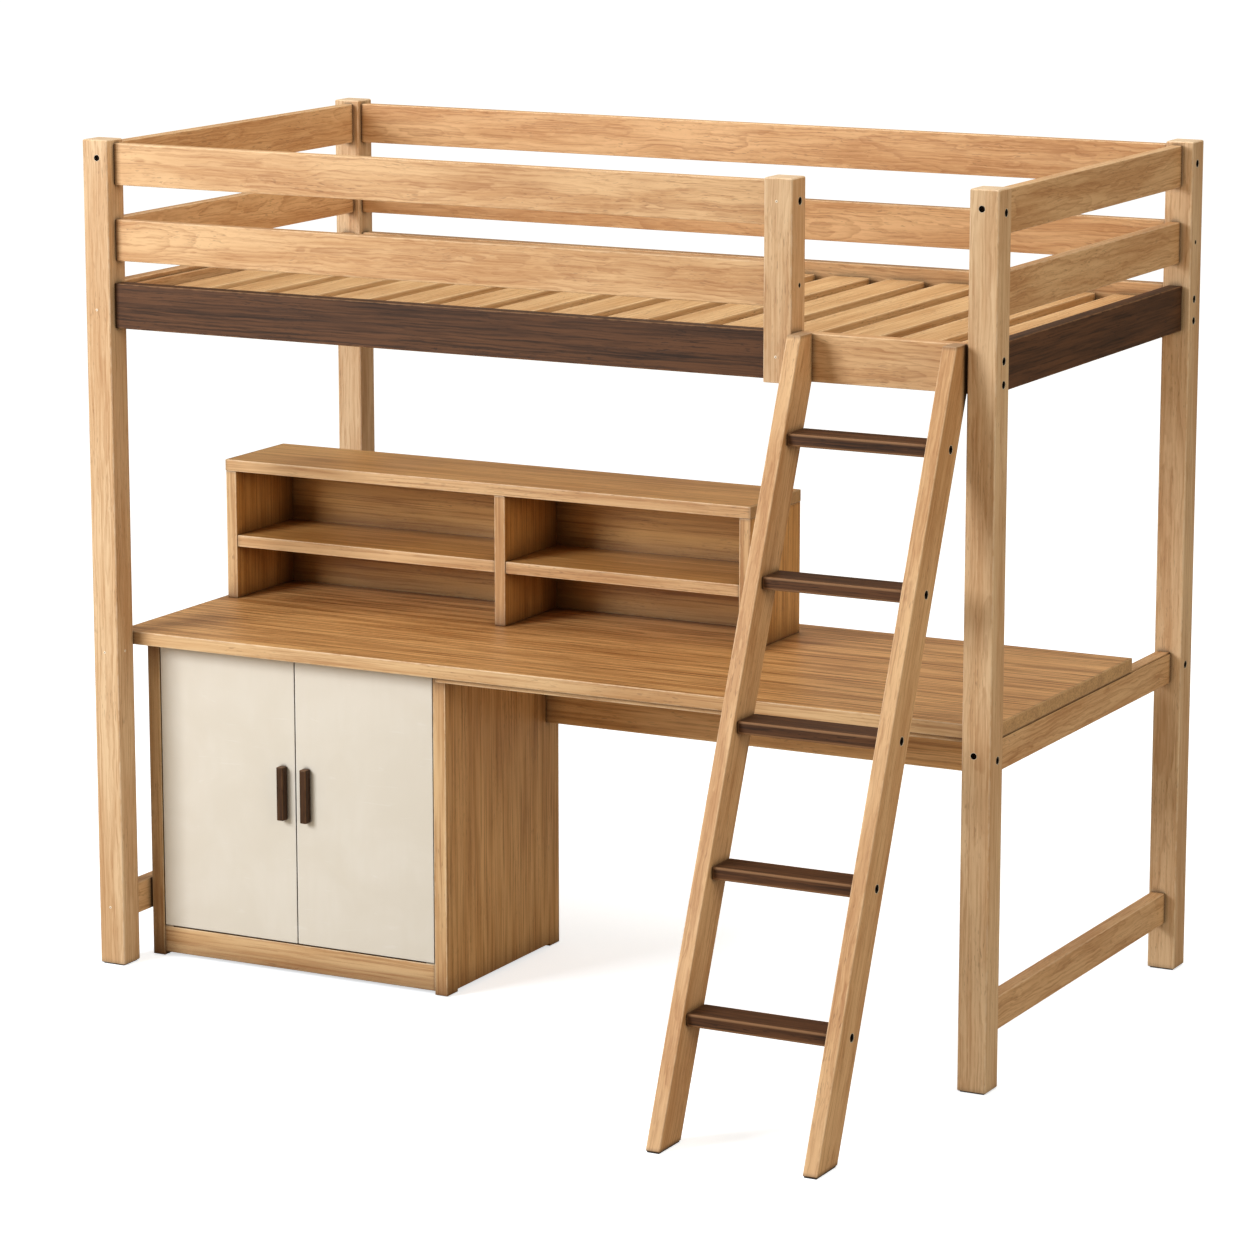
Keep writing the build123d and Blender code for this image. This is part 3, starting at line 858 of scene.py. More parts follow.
# Front faces of desk, hutch and cabinet boards take the paler copy: painted light on the lit
# side.
LIT_FRONT_DESK = FacedTimber.over("lipped_desk", LIT_FRONT_OAK, DESK_OAK, FRONT)
LIT_FRONT_HUTCH = FacedTimber.over("lipped_hutch", LIT_FRONT_OAK, SHADED_HUTCH_OAK, FRONT)
LIT_FRONT_PANEL = FacedTimber.over("lipped_panel", LIT_FRONT_OAK, PANEL_OAK, FRONT)
PULL_WALNUT = replace(
    WALNUT, name="pull_walnut", pale=tint(80, 52, 30), warm=tint(60, 38, 21), joint_shade=0.0, wear_and_highlight=0.3
)
CREAM_PAINT = Paint(
    "cream_paint", "door_paint", body=tint(224, 220, 211), shade=tint(219, 214, 203),
    edge=tint(241, 242, 242), gloss=(0.4, 0.54), bump=0.05, coat=0.03, specular=0.4,
    corner_shade=0.9, crevice_reach=0.009,
)
BLACK_BOLT = Metal(
    "black_bolt", "bolt_steel", body=tint(15, 13, 12), shade=tint(8, 7, 6),
    gloss=(0.4, 0.6), bump=0.1,
)
NICKEL = Metal(
    "nickel", "hardware_steel", body=tint(212, 208, 200), shade=tint(176, 172, 164),
    gloss=(0.24, 0.42), bump=0.08,
)
COLLAR = Paint(
    "collar_lacquer", "hardware_steel", body=tint(250, 238, 218), shade=tint(240, 224, 198),
    edge=tint(254, 248, 236), gloss=(0.3, 0.45), bump=0.02,
)
PLUG_LACQUER = replace(COLLAR, slot=FRAME_OAK.slot)
PAD_RUBBER = Rubber("pad_rubber", "pad_rubber", gloss=(0.7, 0.9), bump=0.3)


# ---------------------------------------------------------------- meshes


@dataclass(frozen=True)
class EasedBoard:
    """A board between two corners with rounded arrises."""

    low: Vector
    high: Vector
    ease: float = 0.0015
    band: float = 0.004
    steps: int = 2

    def cuts(self, axis: int) -> tuple[list[float], int]:
        """Return the cut positions along one axis.

        Args:
            axis: 0, 1 or 2.

        Returns:
            The positions, and how many at each end belong to the rounding.
        """
        a, b = self.low[axis], self.high[axis]
        band = min(self.band, 0.4 * (b - a) - self.ease)
        turns = [math.tan(math.pi / 4 * k / self.steps) for k in range(self.steps, -1, -1)]
        reach = [self.ease * (1 - t) for t in turns] + [self.ease + band]
        return [a + r for r in reach] + [b - r for r in reversed(reach)], len(turns)

    def mesh(self, name: str) -> bpy.types.Mesh:
        """Make the board's mesh, with its arrises marked.

        Args:
            name: The mesh's name.

        Returns:
            The mesh, with a point attribute "arris".
        """
        cuts, count = zip(*(self.cuts(axis) for axis in range(3)))
        last = [len(c) - 1 for c in cuts]
        points: dict[tuple[int, int, int], int] = {}
        places: list[Vector] = []
        marks: list[float] = []
        faces: list[list[int]] = []

        def point(key: tuple[int, int, int]) -> int:
            """Return the number of the point at a grid place, made on first use.

            Args:
                key: The place's number along each axis.

            Returns:
                The point's number in the mesh.
            """
            if key not in points:
                raw = Vector(cuts[a][key[a]] for a in range(3))
                inner = Vector(
                    min(max(raw[a], self.low[a] + self.ease), self.high[a] - self.ease)
                    for a in range(3)
                )
                points[key] = len(places)
                places.append(inner + (raw - inner).normalized() * self.ease)
                rounded = sum(min(key[a], last[a] - key[a]) < count[a] for a in range(3))
                marks.append(1.0 if rounded > 1 else 0.0)
            return points[key]

        for axis in range(3):
            u, v = (axis + 1) % 3, (axis + 2) % 3
            for side in (0, last[axis]):
                for i in range(last[u]):
                    for j in range(last[v]):
                        ring = []
                        for du, dv in ((0, 0), (1, 0), (1, 1), (0, 1)):
                            key = [0, 0, 0]
                            key[axis], key[u], key[v] = side, i + du, j + dv
                            ring.append(point(tuple(key)))
                        faces.append(ring if side else ring[::-1])
        mesh = bpy.data.meshes.new(name)
        mesh.from_pydata(places, [], faces)
        mesh.attributes.new("arris", "FLOAT", "POINT").data.foreach_set("value", marks)
        mesh.shade_smooth()
        return mesh


def new_piece(name: str, data: bpy.types.ID) -> bpy.types.Object:
    """Put a mesh, camera or light in the scene as an object at the origin."""
    piece = bpy.data.objects.new(name, data)
    bpy.context.scene.collection.objects.link(piece)
    return piece


@dataclass(frozen=True)
class Seat:
    """A place that a bolt, collar or plug sits in."""

    place: Vector
    facing: Vector
    reach: float = 0.0
    radius: float = 0.0


def seats_of(node: str) -> list[Seat]:
    """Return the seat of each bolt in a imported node, read from its own shape.

    Args:
        node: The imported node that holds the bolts.

    Returns:
        One seat for each bolt: the middle of its head's outer face, the way the head
        faces, the bolt's length and its head's radius.
    """
    work = bmesh.new()
    work.from_mesh(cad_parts[node].data)
    bmesh.ops.remove_doubles(work, verts=work.verts, dist=1e-6)
    left = set(work.verts)
    seats = []
    while left:
        edge_of = [left.pop()]
        island = []
        while edge_of:
            vert = edge_of.pop()
            island.append(vert.co.copy())
            near = [e.other_vert(vert) for e in vert.link_edges]
            fresh = [v for v in near if v in left]
            left.difference_update(fresh)
            edge_of.extend(fresh)
        low = Vector(min(p[a] for p in island) for a in range(3))
        high = Vector(max(p[a] for p in island) for a in range(3))
        span, middle = high - low, (low + high) / 2
        axis = max(range(3), key=lambda a: span[a])
        radius = (sum(span) - span[axis]) / 4
        wide = [p for p in island if abs((p - middle)[(axis + 1) % 3]) > 0.9 * radius]
        outward = 1.0 if sum(p[axis] - middle[axis] for p in wide) > 0 else -1.0
        facing = Vector(outward if a == axis else 0.0 for a in range(3))
        seats.append(Seat(middle + facing * span[axis] / 2, facing, span[axis], radius))
    work.free()
    return sorted(seats, key=lambda s: tuple(round(c, 5) for c in s.place))


def seat_points(name: str, seats: Sequence[Seat]) -> bpy.types.Object:
    """Make an object of bare points that a Geometry Nodes tree puts its pieces on.

    Args:
        name: The object's name.
        seats: The seats.

    Returns:
        The object, with point attributes "facing", "reach" and "radius".
    """
    mesh = bpy.data.meshes.new(name)
    mesh.from_pydata([s.place for s in seats], [], [])
    facing = [c for s in seats for c in s.facing]
    mesh.attributes.new("facing", "FLOAT_VECTOR", "POINT").data.foreach_set("vector", facing)
    marks = {"reach": [s.reach for s in seats], "radius": [s.radius for s in seats]}
    for mark, values in marks.items():
        mesh.attributes.new(mark, "FLOAT", "POINT").data.foreach_set("value", values)
    return new_piece(name, mesh)


# ---------------------------------------------------------------- geometry trees


class Pattern:
    """A Geometry Nodes tree that makes like pieces from named sizes."""

    name: ClassVar[str]
    takes: ClassVar[dict[str, str]]

    def __init__(self) -> None:
        """Build the tree: its inputs, its own nodes, then Realize Instances and Set Material."""
        self.tree = bpy.data.node_groups.new(self.name, "GeometryNodeTree")
        takes = {"Geometry": GEOMETRY, **self.takes, "Finish": MATERIAL}
        w, given = open_tree(self.tree, takes, {"Geometry": GEOMETRY})
        whole = w.out("GeometryNodeRealizeInstances", inputs={0: self.wire(w, given)})
        inputs = {"Geometry": whole, "Material": given["Finish"]}
        dressed = w.out("GeometryNodeSetMaterial", inputs=inputs)
        w.add("NodeGroupOutput", inputs={"Geometry": dressed})

    def wire(self, w: Wiring, given: bpy.types.NodeOutputs) -> Socket:
        """Fill the tree. Each pattern has its own version.

        Args:
            w: Wiring on the tree.
            given: The tree's inputs.

        Returns:
            The geometry to realise.
        """
        raise NotImplementedError

    def run(self, piece: bpy.types.Object, values: dict[str, Feed]) -> bpy.types.Object:
        """Run the tree on an object and leave a plain mesh.

        Args:
            piece: The object whose mesh the tree starts from.
            values: A value for each named input.

        Returns:
            The same object, with the tree's result as its mesh and no modifier.
        """
        modifier = piece.modifiers.new(self.name, "NODES")
        modifier.node_group = self.tree
        for item in self.tree.interface.items_tree:
            if item.in_out == "INPUT" and item.name in values:
                modifier[item.identifier] = values[item.name]
        piece.update_tag()
        bpy.context.view_layer.update()
        graph = bpy.context.evaluated_depsgraph_get()
        mesh = bpy.data.meshes.new_from_object(
            piece.evaluated_get(graph), preserve_all_data_layers=True, depsgraph=graph
        )
        piece.modifiers.remove(modifier)
        mesh.name = piece.name
        piece.data = mesh
        return piece


class BoardRow(Pattern):
    """Lays copies of one board at equal steps, each with its own grain."""

    name = "BoardRow"
    takes = {"Count": WHOLE, "Step": VECTOR, "Play": VECTOR, "Seed": WHOLE}
    lot_spread: ClassVar[Triple] = (4.0, 0.03, 0.03)

    def wire(self, w: Wiring, given: bpy.types.NodeOutputs) -> Socket:
        """Fill the tree with a line of boards, a little play and a lot mark for each.

        Args:
            w: Wiring on the tree.
            given: The tree's inputs.

        Returns:
            The row of boards as instances.
        """
        inputs = {"Count": given["Count"], "Offset": given["Step"]}
        line = w.out("GeometryNodeMeshLine", {"mode": "OFFSET"}, inputs)
        inputs = {"Points": line, "Instance": given["Geometry"]}
        boards = w.out("GeometryNodeInstanceOnPoints", inputs=inputs)
        options = {"data_type": "FLOAT_VECTOR"}
        back = w.stretch(given["Play"], (-1.0, -1.0, -1.0))
        inputs = {0: back, 1: given["Play"], "Seed": given["Seed"]}
        shift = w.out("FunctionNodeRandomValue", options, inputs)
        inputs = {"Instances": boards, "Translation": shift}
        moved = w.out("GeometryNodeTranslateInstances", inputs=inputs)
        spread = self.lot_spread
        inputs = {0: tuple(-s for s in spread), 1: spread, "Seed": given["Seed"]}
        lot = w.out("FunctionNodeRandomValue", options, inputs)
        inputs = {"Geometry": moved, "Name": "lot", "Value": lot}
        options = {**options, "domain": "INSTANCE"}
        return w.out("GeometryNodeStoreNamedAttribute", options, inputs)


class SeatedPattern(Pattern):
    """A pattern that puts one shape on each seat, facing out of it."""

    def shape(self, w: Wiring, given: bpy.types.NodeOutputs) -> Socket:
        """Return the shape, with its outer face at height 0 and +Z outwards."""
        raise NotImplementedError

    def mark(self, w: Wiring, name: str, kind: str = "FLOAT") -> Socket:
        """Return one of the seats' marks."""
        return w.out("GeometryNodeInputNamedAttribute", {"data_type": kind}, {"Name": name})

    def scale(self, w: Wiring) -> Socket:
        """Return the scale of the shape on each seat: its radius all ways."""
        radius = self.mark(w, "radius")
        return w.combine(radius, radius, radius)

    def on_seats(self, w: Wiring, points: Socket, shape: Socket, scale: Socket) -> Socket:
        """Put a shape on every seat, with +Z along the seat's facing.

        Args:
            w: Wiring on the tree.
            points: The seats.
            shape: The shape's mesh.
            scale: Its scale on each seat.

        Returns:
            The shapes as instances.
        """
        aim = {"Vector": self.mark(w, "facing", "FLOAT_VECTOR")}
        inputs = {
            "Points": points, "Instance": shape, "Scale": scale,
            "Rotation": w.out("FunctionNodeAlignRotationToVector", {"axis": "Z"}, aim),
        }
        return w.out("GeometryNodeInstanceOnPoints", inputs=inputs)

    def wire(self, w: Wiring, given: bpy.types.NodeOutputs) -> Socket:
        """Fill the tree with the shape on every seat."""
        return self.on_seats(w, given["Geometry"], self.shape(w, given), self.scale(w))


class SocketBolts(SeatedPattern):
    """Bolts with a round head and a six-sided socket, each as wide and long as its seat says."""

    name = "SocketBolts"
    takes = {"Head Depth": FLOAT, "Socket Share": FLOAT, "Shank Radius": FLOAT}
    head_sides: ClassVar[int] = 28
    shank_sides: ClassVar[int] = 14
    key_sides: ClassVar[int] = 6
    key_overlap: ClassVar[float] = 1.2

    def scale(self, w: Wiring) -> Socket:
        """Return the heads' scale: the seat's radius across, and its own depth."""
        radius = self.mark(w, "radius")
        return w.combine(radius, radius, 1.0)

    def shape(self, w: Wiring, given: bpy.types.NodeOutputs) -> Socket:
        """Return the head: a round body of unit radius with a six-sided socket.

        Args:
            w: Wiring on the tree.
            given: The tree's inputs.

        Returns:
            The head's mesh.
        """
        depth = given["Head Depth"]
        inputs = {"Vertices": self.head_sides, "Radius": 1.0, "Depth": depth}
        body = w.out("GeometryNodeMeshCylinder", inputs=inputs)
        inputs = {"Geometry": body, "Translation": w.combine(z=w.times(depth, -0.5))}
        placed = w.out("GeometryNodeTransform", inputs=inputs)
        inputs = {
            "Vertices": self.key_sides, "Radius": given["Socket Share"],
            "Depth": w.times(depth, self.key_overlap),
        }
        meshes = {"Mesh 1": placed, "Mesh 2": w.out("GeometryNodeMeshCylinder", inputs=inputs)}
        return w.out("GeometryNodeMeshBoolean", {"operation": "DIFFERENCE"}, meshes)

    def wire(self, w: Wiring, given: bpy.types.NodeOutputs) -> Socket:
        """Fill the tree with a head and a shank on every seat.

        Args:
            w: Wiring on the tree.
            given: The tree's inputs.

        Returns:
            The bolts as instances.
        """
        depth = given["Head Depth"]
        free = w.math("SUBTRACT", self.mark(w, "reach"), depth)
        inputs = {"Vertices": self.shank_sides, "Radius": given["Shank Radius"], "Depth": 1.0}
        rod = w.out("GeometryNodeMeshCylinder", inputs=inputs)
        inputs = {"Geometry": rod, "Translation": (0.0, 0.0, -0.5)}
        hung = w.out("GeometryNodeTransform", inputs=inputs)
        shanks = self.on_seats(w, given["Geometry"], hung, w.combine(1.0, 1.0, free))
        drop = w.combine(z=w.times(w.math("DIVIDE", depth, free), -1.0))
        inputs = {"Instances": shanks, "Translation": drop, "Local Space": True}
        under = w.out("GeometryNodeTranslateInstances", inputs=inputs)
        both = w.add("GeometryNodeJoinGeometry", inputs={"Geometry": super().wire(w, given)})
        w.feed(both.inputs["Geometry"], under)
        return both.outputs[0]


class BoreRings(SeatedPattern):
    """Thin collars that line the mouths of bores."""

    name = "BoreRings"
    takes = {"Wire Share": FLOAT}
    ring_steps: ClassVar[int] = 28
    wire_steps: ClassVar[int] = 8

    def shape(self, w: Wiring, given: bpy.types.NodeOutputs) -> Socket:
        """Return one collar of unit outer radius, its wire centred on the seat.

        Args:
            w: Wiring on the tree.
            given: The tree's inputs.

        Returns:
            The collar's mesh.
        """
        share = given["Wire Share"]
        rings = (self.ring_steps, w.math("SUBTRACT", 1.0, share)), (self.wire_steps, share)
        loop, wire = (
            w.out(
                "GeometryNodeCurvePrimitiveCircle", {"mode": "RADIUS"},
                {"Resolution": steps, "Radius": radius},
            )
            for steps, radius in rings
        )
        inputs = {"Curve": loop, "Profile Curve": wire}
        return w.out("GeometryNodeCurveToMesh", inputs=inputs)


class DomedPlugs(SeatedPattern):
    """Low domed plugs that close small bores."""

    name = "DomedPlugs"
    takes = {"Rise Share": FLOAT}
    segments: ClassVar[int] = 16
    rings: ClassVar[int] = 8

    def shape(self, w: Wiring, given: bpy.types.NodeOutputs) -> Socket:
        """Return one plug: a flattened ball, half of it in its bore.

        Args:
            w: Wiring on the tree.
            given: The tree's inputs.

        Returns:
            The plug's mesh.
        """
        inputs = {"Segments": self.segments, "Rings": self.rings, "Radius": 1.0}
        ball = w.out("GeometryNodeMeshUVSphere", inputs=inputs)
        inputs = {"Geometry": ball, "Scale": w.combine(1.0, 1.0, given["Rise Share"])}
        flat = w.out("GeometryNodeTransform", inputs=inputs)
        return w.out("GeometryNodeSetShadeSmooth", inputs={"Geometry": flat})


# ---------------------------------------------------------------- joiner's bench


class Bench:
    """Dresses packed boards and makes the boards that stand for packed ones."""

    def dress(self, node: str, finish: Finish, run: Run = Run.X, lay: Lay | None = None) -> None:
        """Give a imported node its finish.

        Args:
            node: The node's name.
            finish: Its finish.
            run: The direction of its length.
            lay: How it lies, when it isn't square to the axes.
        """
        material = finish.material(lay or Lay.of_node(node, run))
        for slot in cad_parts[node].material_slots:
            slot.material = material
        LOG.info("dressed %s in %s", node, finish.name)

    def settle(self, piece: bpy.types.Object, body: str, finish: Finish, *nodes: str) -> None:
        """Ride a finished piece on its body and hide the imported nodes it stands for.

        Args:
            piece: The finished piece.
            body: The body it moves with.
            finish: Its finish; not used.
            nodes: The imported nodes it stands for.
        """
        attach(piece, body)
        if nodes:
            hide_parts(*nodes)
        LOG.info("made %s on %s with %d faces", piece.name, body, len(piece.data.polygons))

    def board(
        self, node: str, finish: Finish, run: Run = Run.X, ease: float = 1.5 * MM,
        body: str = FRAME_BODY,
    ) -> None:
        """Make a board with rounded arrises in the place of a packed one.

        Args:
            node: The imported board.
            finish: Its finish.
            run: The direction of its length.
            ease: The rounding's radius.
            body: The body it moves with.
        """
        low, high = corners(node)
        piece = new_piece(f"{node}_board", EasedBoard(low, high, ease).mesh(node))
        piece.data.materials.append(finish.material(Lay.of_node(node, run)))
        self.settle(piece, body, finish, node)

    def repeat(
        self, pattern: Pattern, start: bpy.types.Object, lay: Lay, finish: Finish,
        sizes: dict[str, Feed], *nodes: str,
    ) -> None:
        """Make a run of like pieces that stays with the bed's frame.

        Args:
            pattern: The tree that repeats the shape.
            start: The object that it starts from.
            lay: How the pieces lie.
            finish: Their finish.
            sizes: The tree's own inputs.
            nodes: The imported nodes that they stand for.
        """
        values = {**sizes, "Finish": finish.material(lay)}
        self.settle(pattern.run(start, values), FRAME_BODY, finish, *nodes)


BENCH = Bench()


# ---------------------------------------------------------------- sub-assemblies


@dataclass
class CornerFrame:
    """The four posts, the short post and the plugs that close their spare bores."""

    posts: tuple[str, ...] = (
        "post_front_left", "post_front_right", "post_back_left", "post_back_right",
        "guard_post_front",
    )
    plug_radius: float = 3.0 * MM
    plug_rise_share: float = 0.15
    plug_dot_radius: float = 1.5 * MM
    plug_dot_rise_share: float = 0.38
    plug_inset: float = 28 * MM
    left_plug_heights: tuple[float, ...] = (1.439, 0.696, 0.129)
    left_inner_plug_height: float = 0.698
    short_plug_heights: tuple[float, ...] = (1.754, 1.447)

    def build(self) -> None:
        """Dress the posts and set the plugs."""
        for post in self.posts:
            BENCH.dress(post, FRAME_OAK, Run.Z)
        low, high = corners("post_front_left")
        short, _ = corners("guard_post_front")
        inset = self.plug_inset
        places = [(low.x + inset, low.y, height) for height in self.left_plug_heights]
        places += [(short.x + inset, short.y, height) for height in self.short_plug_heights]
        seats = [self.plug_seat(place, FRONT) for place in places]
        inner = (high.x, low.y + inset, self.left_inner_plug_height)
        seats.insert(len(self.left_plug_heights), self.plug_seat(inner, RIGHT))
        dots = [replace(seat, radius=self.plug_dot_radius) for seat in seats]
        for name, finish, share, where in (
            ("post_plugs", PLUG_LACQUER, self.plug_rise_share, seats),
            ("post_plug_dots", WALNUT, self.plug_dot_rise_share, dots),
        ):
            lay = Lay.of_marked(name, Run.Z)
            sizes = {"Rise Share": share}
            BENCH.repeat(DomedPlugs(), seat_points(name, where), lay, finish, sizes)

    def plug_seat(self, place: Triple, facing: Triple) -> Seat:
        """Return the seat of one plug."""
        return Seat(Vector(place), Vector(facing), radius=self.plug_radius)


@dataclass
class Guards:
    """The guard boards round the bed."""

    levels: tuple[str, ...] = ("upper", "lower")
    runs: dict[str, Run] = field(
        default_factory=lambda: {"front": Run.X, "back": Run.X, "left": Run.Y, "right": Run.Y}
    )

    def build(self) -> None:
        """Dress every guard board."""
        for level in self.levels:
            for side, run in self.runs.items():
                BENCH.dress(f"guard_rail_{side}_{level}", RAIL_OAK, run)


@dataclass
class BedBase:
    """The bed rails, the ledgers and the run of slats."""

    dark_rails: dict[str, Run] = field(default_factory=lambda: {"front": Run.X, "right": Run.Y})
    light_rails: dict[str, Run] = field(default_factory=lambda: {"entry": Run.X, "back": Run.X})
    slat_count: int = 15
    slat_width: float = 88 * MM
    slat_pitch: float = 132 * MM
    slat_ease: float = 1.8 * MM
    slat_play: Triple = (0.8 * MM, 0.8 * MM, 0.0)
    slat_seed: int = 7

    def build(self) -> None:
        """Dress the rails and make the slats."""
        for side, run in self.dark_rails.items():
            BENCH.dress(f"bed_rail_{side}", WALNUT, run)
        BENCH.dress("bed_rail_left", FACED_WALNUT, Run.Y)
        for side, run in self.light_rails.items():
            BENCH.dress(f"bed_rail_{side}", RAIL_OAK, run)
        BENCH.dress("slat_ledgers", SLAT_PINE, Run.X)
        BENCH.dress("bed_end_liners", RAIL_OAK, Run.Y)
        self.build_slats()

    def build_slats(self) -> None:
        """Lay the slats in a row from the left end."""
        low, high = corners("slats")
        first = Vector((low.x + self.slat_width, high.y, high.z))
        start = new_piece("slat_row", EasedBoard(low, first, self.slat_ease).mesh("slat"))
        sizes = {
            "Count": self.slat_count, "Step": (self.slat_pitch, 0.0, 0.0),
            "Play": self.slat_play, "Seed": self.slat_seed,
        }
        lay = Lay.of_marked("slat_row", Run.Y)
        BENCH.repeat(BoardRow(), start, lay, SLAT_PINE, sizes, "slats")


@dataclass
class Desk:
    """The desktop, what carries it, and the floor stretchers."""

    top_ease: float = 2.2 * MM
    small_ease: float = 1.2 * MM

    def build(self) -> None:
        """Make the desktop and its battens and dress the rails."""
        BENCH.board("desktop", LIT_FRONT_DESK, Run.X, self.top_ease)
        BENCH.board("desk_front_batten", LIT_FRONT_PANEL, Run.X, self.small_ease)
        BENCH.board("desk_apron", PANEL_OAK, Run.X, self.small_ease)
        BENCH.board("desk_support_block", PANEL_OAK, Run.X, self.small_ease)
        for node in ("desk_end_rail", "stretcher_left", "stretcher_right"):
            BENCH.dress(node, RAIL_OAK, Run.Y)


@dataclass
class Hutch:
    """The shelf unit on the desk."""

    level: tuple[str, ...] = ("top", "shelf_left", "shelf_right", "back")
    upright: tuple[str, ...] = ("side_left", "side_right", "divider")
    ease: float = 1.6 * MM

    def build(self) -> None:
        """Make the hutch's boards."""
        for part in self.level:
            back = part == "back"
            # The hutch's darker oak is painted shade; the front faces of its boards take the
            # paler copy, painted light.
            finish, ease = (SHADED_HUTCH_OAK, 0.5 * MM) if back else (LIT_FRONT_HUTCH, self.ease)
            BENCH.board(f"hutch_{part}", finish, Run.X, ease)
        for part in self.upright:
            BENCH.board(f"hutch_{part}", LIT_FRONT_HUTCH, Run.Z, self.ease)


@dataclass
class Cabinet:
    """The cabinet under the desk, with its doors and handles."""

    ease: float = 1.2 * MM
    door_ease: float = 1.6 * MM
    handle_ease: float = 2.4 * MM

    def build(self) -> None:
        """Make the cabinet's boards, doors and handles."""
        for side in ("left", "right"):
            BENCH.dress(f"cabinet_side_{side}", LIT_FRONT_PANEL, Run.Z)
        BENCH.board("cabinet_plinth", LIT_FRONT_PANEL, Run.X, self.ease)
        for part in ("bottom", "back", "shelf"):
            BENCH.board(f"cabinet_{part}", PANEL_OAK, Run.X, self.ease)
        BENCH.dress("cabinet_top_rail", PANEL_OAK, Run.X)
        for side in ("left", "right"):
            body = f"{side}_door"
            BENCH.board(f"door_{side}", CREAM_PAINT, Run.Z, self.door_ease, body)
            BENCH.board(f"door_handle_{side}", PULL_WALNUT, Run.Z, self.handle_ease, body)


@dataclass
class Ladder:
    """The leaning ladder: two stringers and its treads."""

    slope: float = 0.40
    run: float = 92 * MM
    tread_rise: float = 266 * MM
    tread_count: int = 5
    tread_ease: float = 2.6 * MM
    tread_seed: int = 3

    def build(self) -> None:
        """Dress the stringers and make the treads."""
        for side in ("left", "right"):
            node = f"ladder_stringer_{side}"
            low, high = corners(node)
            front = low.y - self.slope * low.z
            centre = ((low.x + high.x) / 2, front + self.run / 2, (low.z + high.z) / 2)
            half = ((high.x - low.x) / 2, self.run / 2, (high.z - low.z) / 2)
            BENCH.dress(node, RAIL_OAK, lay=Lay(node, centre, half, Run.Z, self.slope))
        self.build_treads()

    def build_treads(self) -> None:
        """Set the treads between the stringers, from the lowest up."""
        treads = [f"ladder_tread_{i}" for i in range(1, self.tread_count + 1)]
        low, high = corners(treads[-1])
        start = new_piece("tread_row", EasedBoard(low, high, self.tread_ease).mesh("tread"))
        step = (0.0, self.slope * self.tread_rise, self.tread_rise)
        sizes = {
            "Count": self.tread_count, "Step": step, "Play": (0.0, 0.0, 0.0),
            "Seed": self.tread_seed,
        }
        lay = Lay.of_marked("tread_row", Run.X)
        BENCH.repeat(BoardRow(), start, lay, WALNUT, sizes, *treads)


@dataclass(frozen=True)
class BoltSize:
    """One packed set of socket bolts."""

    node: str
    shank_radius: float
    head_depth: float = 5 * MM
    bore_play: float = 0.3 * MM
    sink: float = 1.5 * MM


@dataclass
class Ironmongery:
    """Bolts, the collars round them, and the small steel and rubber parts."""

    bolts: tuple[BoltSize, ...] = (
        BoltSize("frame_bolts", 3.5 * MM), BoltSize("rail_bolts", 2.5 * MM)
    )
    collar_share: float = 0.055
    socket_share: float = 0.5

    def build(self) -> None:
        """Make the bolts and collars and dress the rest."""
        bolts, collars = SocketBolts(), BoreRings()
        for size in self.bolts:
            seats = seats_of(size.node)
            sizes = {
                "Head Depth": size.head_depth, "Socket Share": self.socket_share,
                "Shank Radius": size.shank_radius,
            }
            start = seat_points(f"{size.node}_set", seats)
            lay = Lay.of_marked(size.node, Run.X)
            BENCH.repeat(bolts, start, lay, BLACK_BOLT, sizes, size.node)
            mouths = []
            for seat in seats:
                bore = seat.radius + size.bore_play
                lift = size.sink - self.collar_share * bore
                mouths.append(Seat(seat.place + seat.facing * lift, seat.facing, radius=bore))
            start = seat_points(f"{size.node}_collars", mouths)
            lay = Lay.of_marked(start.name, Run.X)
            BENCH.repeat(collars, start, lay, COLLAR, {"Wire Share": self.collar_share})
        for node in ("barrel_nuts", "shelf_pins", "door_pivot_plates"):
            BENCH.dress(node, NICKEL)
        for node in ("door_catches", "floor_pads"):
            BENCH.dress(node, PAD_RUBBER)


# ---------------------------------------------------------------- studio


@dataclass(frozen=True)
class Softbox:
    """One square studio light."""

    name: str
    place: Triple
    aim: Triple
    width: float
    watts: float
    colour: Colour


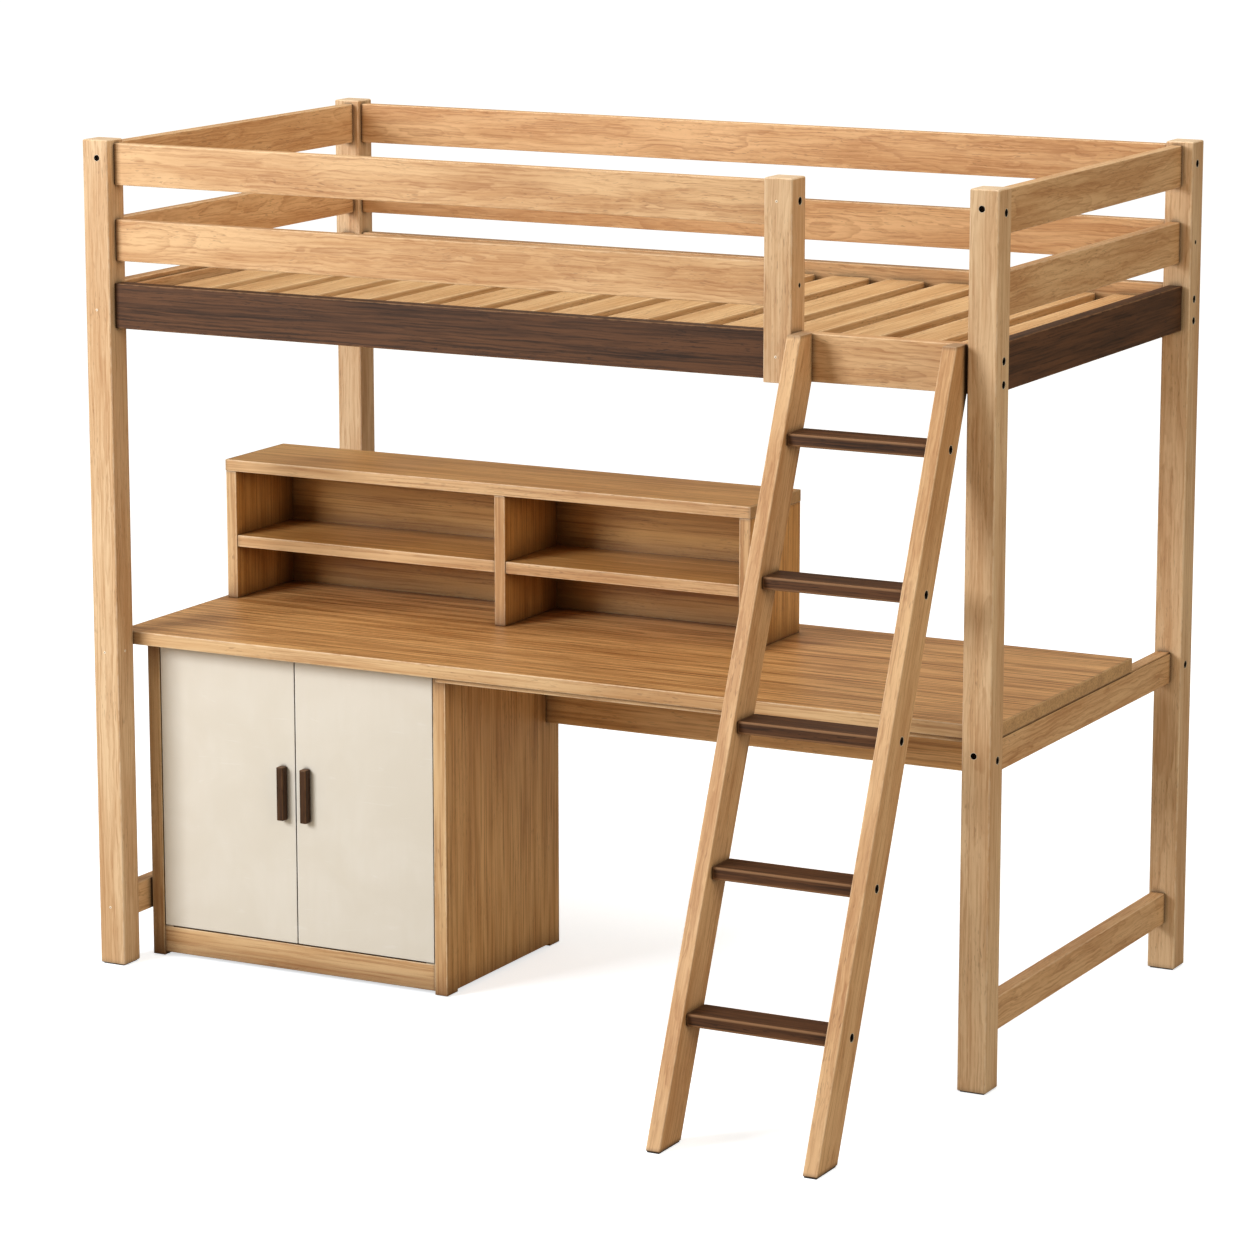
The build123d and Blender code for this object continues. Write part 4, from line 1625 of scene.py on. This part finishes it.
@dataclass
class Studio:
    """The camera, the pale floor and the soft light."""

    camera_place: Triple = (4.585, -8.500, 2.792)
    camera_turn: float = 27.669
    camera_dip: float = 11.608
    lens: float = 135.276
    film_width: float = 36.0
    floor_half: float = 45.0
    backdrop: float = 1.0
    ambient: float = 0.36
    ambient_colour: Colour = (1.0, 0.9, 0.76)
    floor_white: Colour = (0.8, 0.88, 0.97)
    floor_bounce: Colour = (0.5, 0.45, 0.38)
    floor_lift: tuple[float, float] = (0.67, 0.79)
    floor_fade: tuple[float, float] = (1.7, 4.5)
    floor_roughness: float = 0.9
    lights: tuple[Softbox, ...] = (
        Softbox("key", (-3.2, -4.6, 3.0), (-0.5, 0.1, 1.0), 2.2, 275.0, WHITE),
        Softbox("fill", (6.0, -2.6, 3.0), (0.5, 0.2, 0.9), 2.6, 95.0, (1.0, 0.88, 0.7)),
        Softbox("overhead", (0.3, 0.6, 5.2), (0.1, 0.3, 0.0), 3.0, 115.0, (1.0, 0.97, 0.9)),
    )

    def build(self) -> None:
        """Set up the camera, world, floor and lights."""
        self.build_camera()
        self.build_world()
        self.build_floor()
        for light in self.lights:
            self.build_light(light)
        bpy.context.scene.view_settings.view_transform = "Standard"

    def build_camera(self) -> None:
        """Stand the camera and make it the scene's."""
        data = bpy.data.cameras.new("camera")
        data.lens = self.lens
        data.sensor_width = self.film_width
        camera = new_piece("camera", data)
        camera.location = self.camera_place
        camera.rotation_euler = (
            math.radians(90.0 - self.camera_dip), 0.0, math.radians(self.camera_turn)
        )
        bpy.context.scene.camera = camera

    def build_world(self) -> None:
        """Make a white backdrop that lights the room less than it shows."""
        world = bpy.data.worlds.new("studio")
        world.use_nodes = True
        bpy.context.scene.world = world
        w = Wiring(world.node_tree)
        seen = w.add("ShaderNodeLightPath").outputs["Is Camera Ray"]
        strength = w.ease(seen, 0.0, 1.0, self.ambient, self.backdrop)
        inputs = {"Color": w.blend(seen, self.ambient_colour, WHITE), "Strength": strength}
        backdrop = w.out("ShaderNodeBackground", inputs=inputs)
        w.add("ShaderNodeOutputWorld", inputs={"Surface": backdrop})

    def build_floor(self) -> None:
        """Lay the pale floor."""
        h = self.floor_half
        mesh = bpy.data.meshes.new("floor")
        mesh.from_pydata([(-h, -h, 0), (h, -h, 0), (h, h, 0), (-h, h, 0)], [], [(0, 1, 2, 3)])
        floor = new_piece("floor", mesh)
        made = bpy.data.materials.new("studio_floor")
        made.use_nodes = True
        w = Wiring(made.node_tree)
        seen = w.add("ShaderNodeLightPath").outputs["Is Camera Ray"]
        away = w.vector("LENGTH", w.add("ShaderNodeTexCoord").outputs["Object"])
        lift = w.ease(away, *self.floor_fade, *self.floor_lift)
        w.surface({
            "Base Color": w.blend(seen, self.floor_bounce, self.floor_white),
            "Roughness": self.floor_roughness, "Specular IOR Level": 0.0,
            "Emission Color": WHITE, "Emission Strength": w.times(seen, lift),
        })
        mesh.materials.append(made)

    def build_light(self, light: Softbox) -> None:
        """Hang one softbox.

        Args:
            light: The softbox to hang.
        """
        data = bpy.data.lights.new(light.name, "AREA")
        data.shape = "SQUARE"
        data.size = light.width
        data.energy = light.watts
        data.color = light.colour
        lamp = new_piece(light.name, data)
        lamp.location = light.place
        aim = Vector(light.aim) - Vector(light.place)
        lamp.rotation_euler = aim.to_track_quat("-Z", "Y").to_euler()


def main() -> None:
    """Build the studio and every sub-assembly."""
    logging.basicConfig(level=logging.INFO, format="%(name)s: %(message)s")
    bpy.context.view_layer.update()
    for part in (
        Studio(), CornerFrame(), Guards(), BedBase(), Desk(), Hutch(), Cabinet(), Ladder(),
        Ironmongery(),
    ):
        LOG.info("building %s", type(part).__name__)
        part.build()


if __name__ == "__main__":
    main()
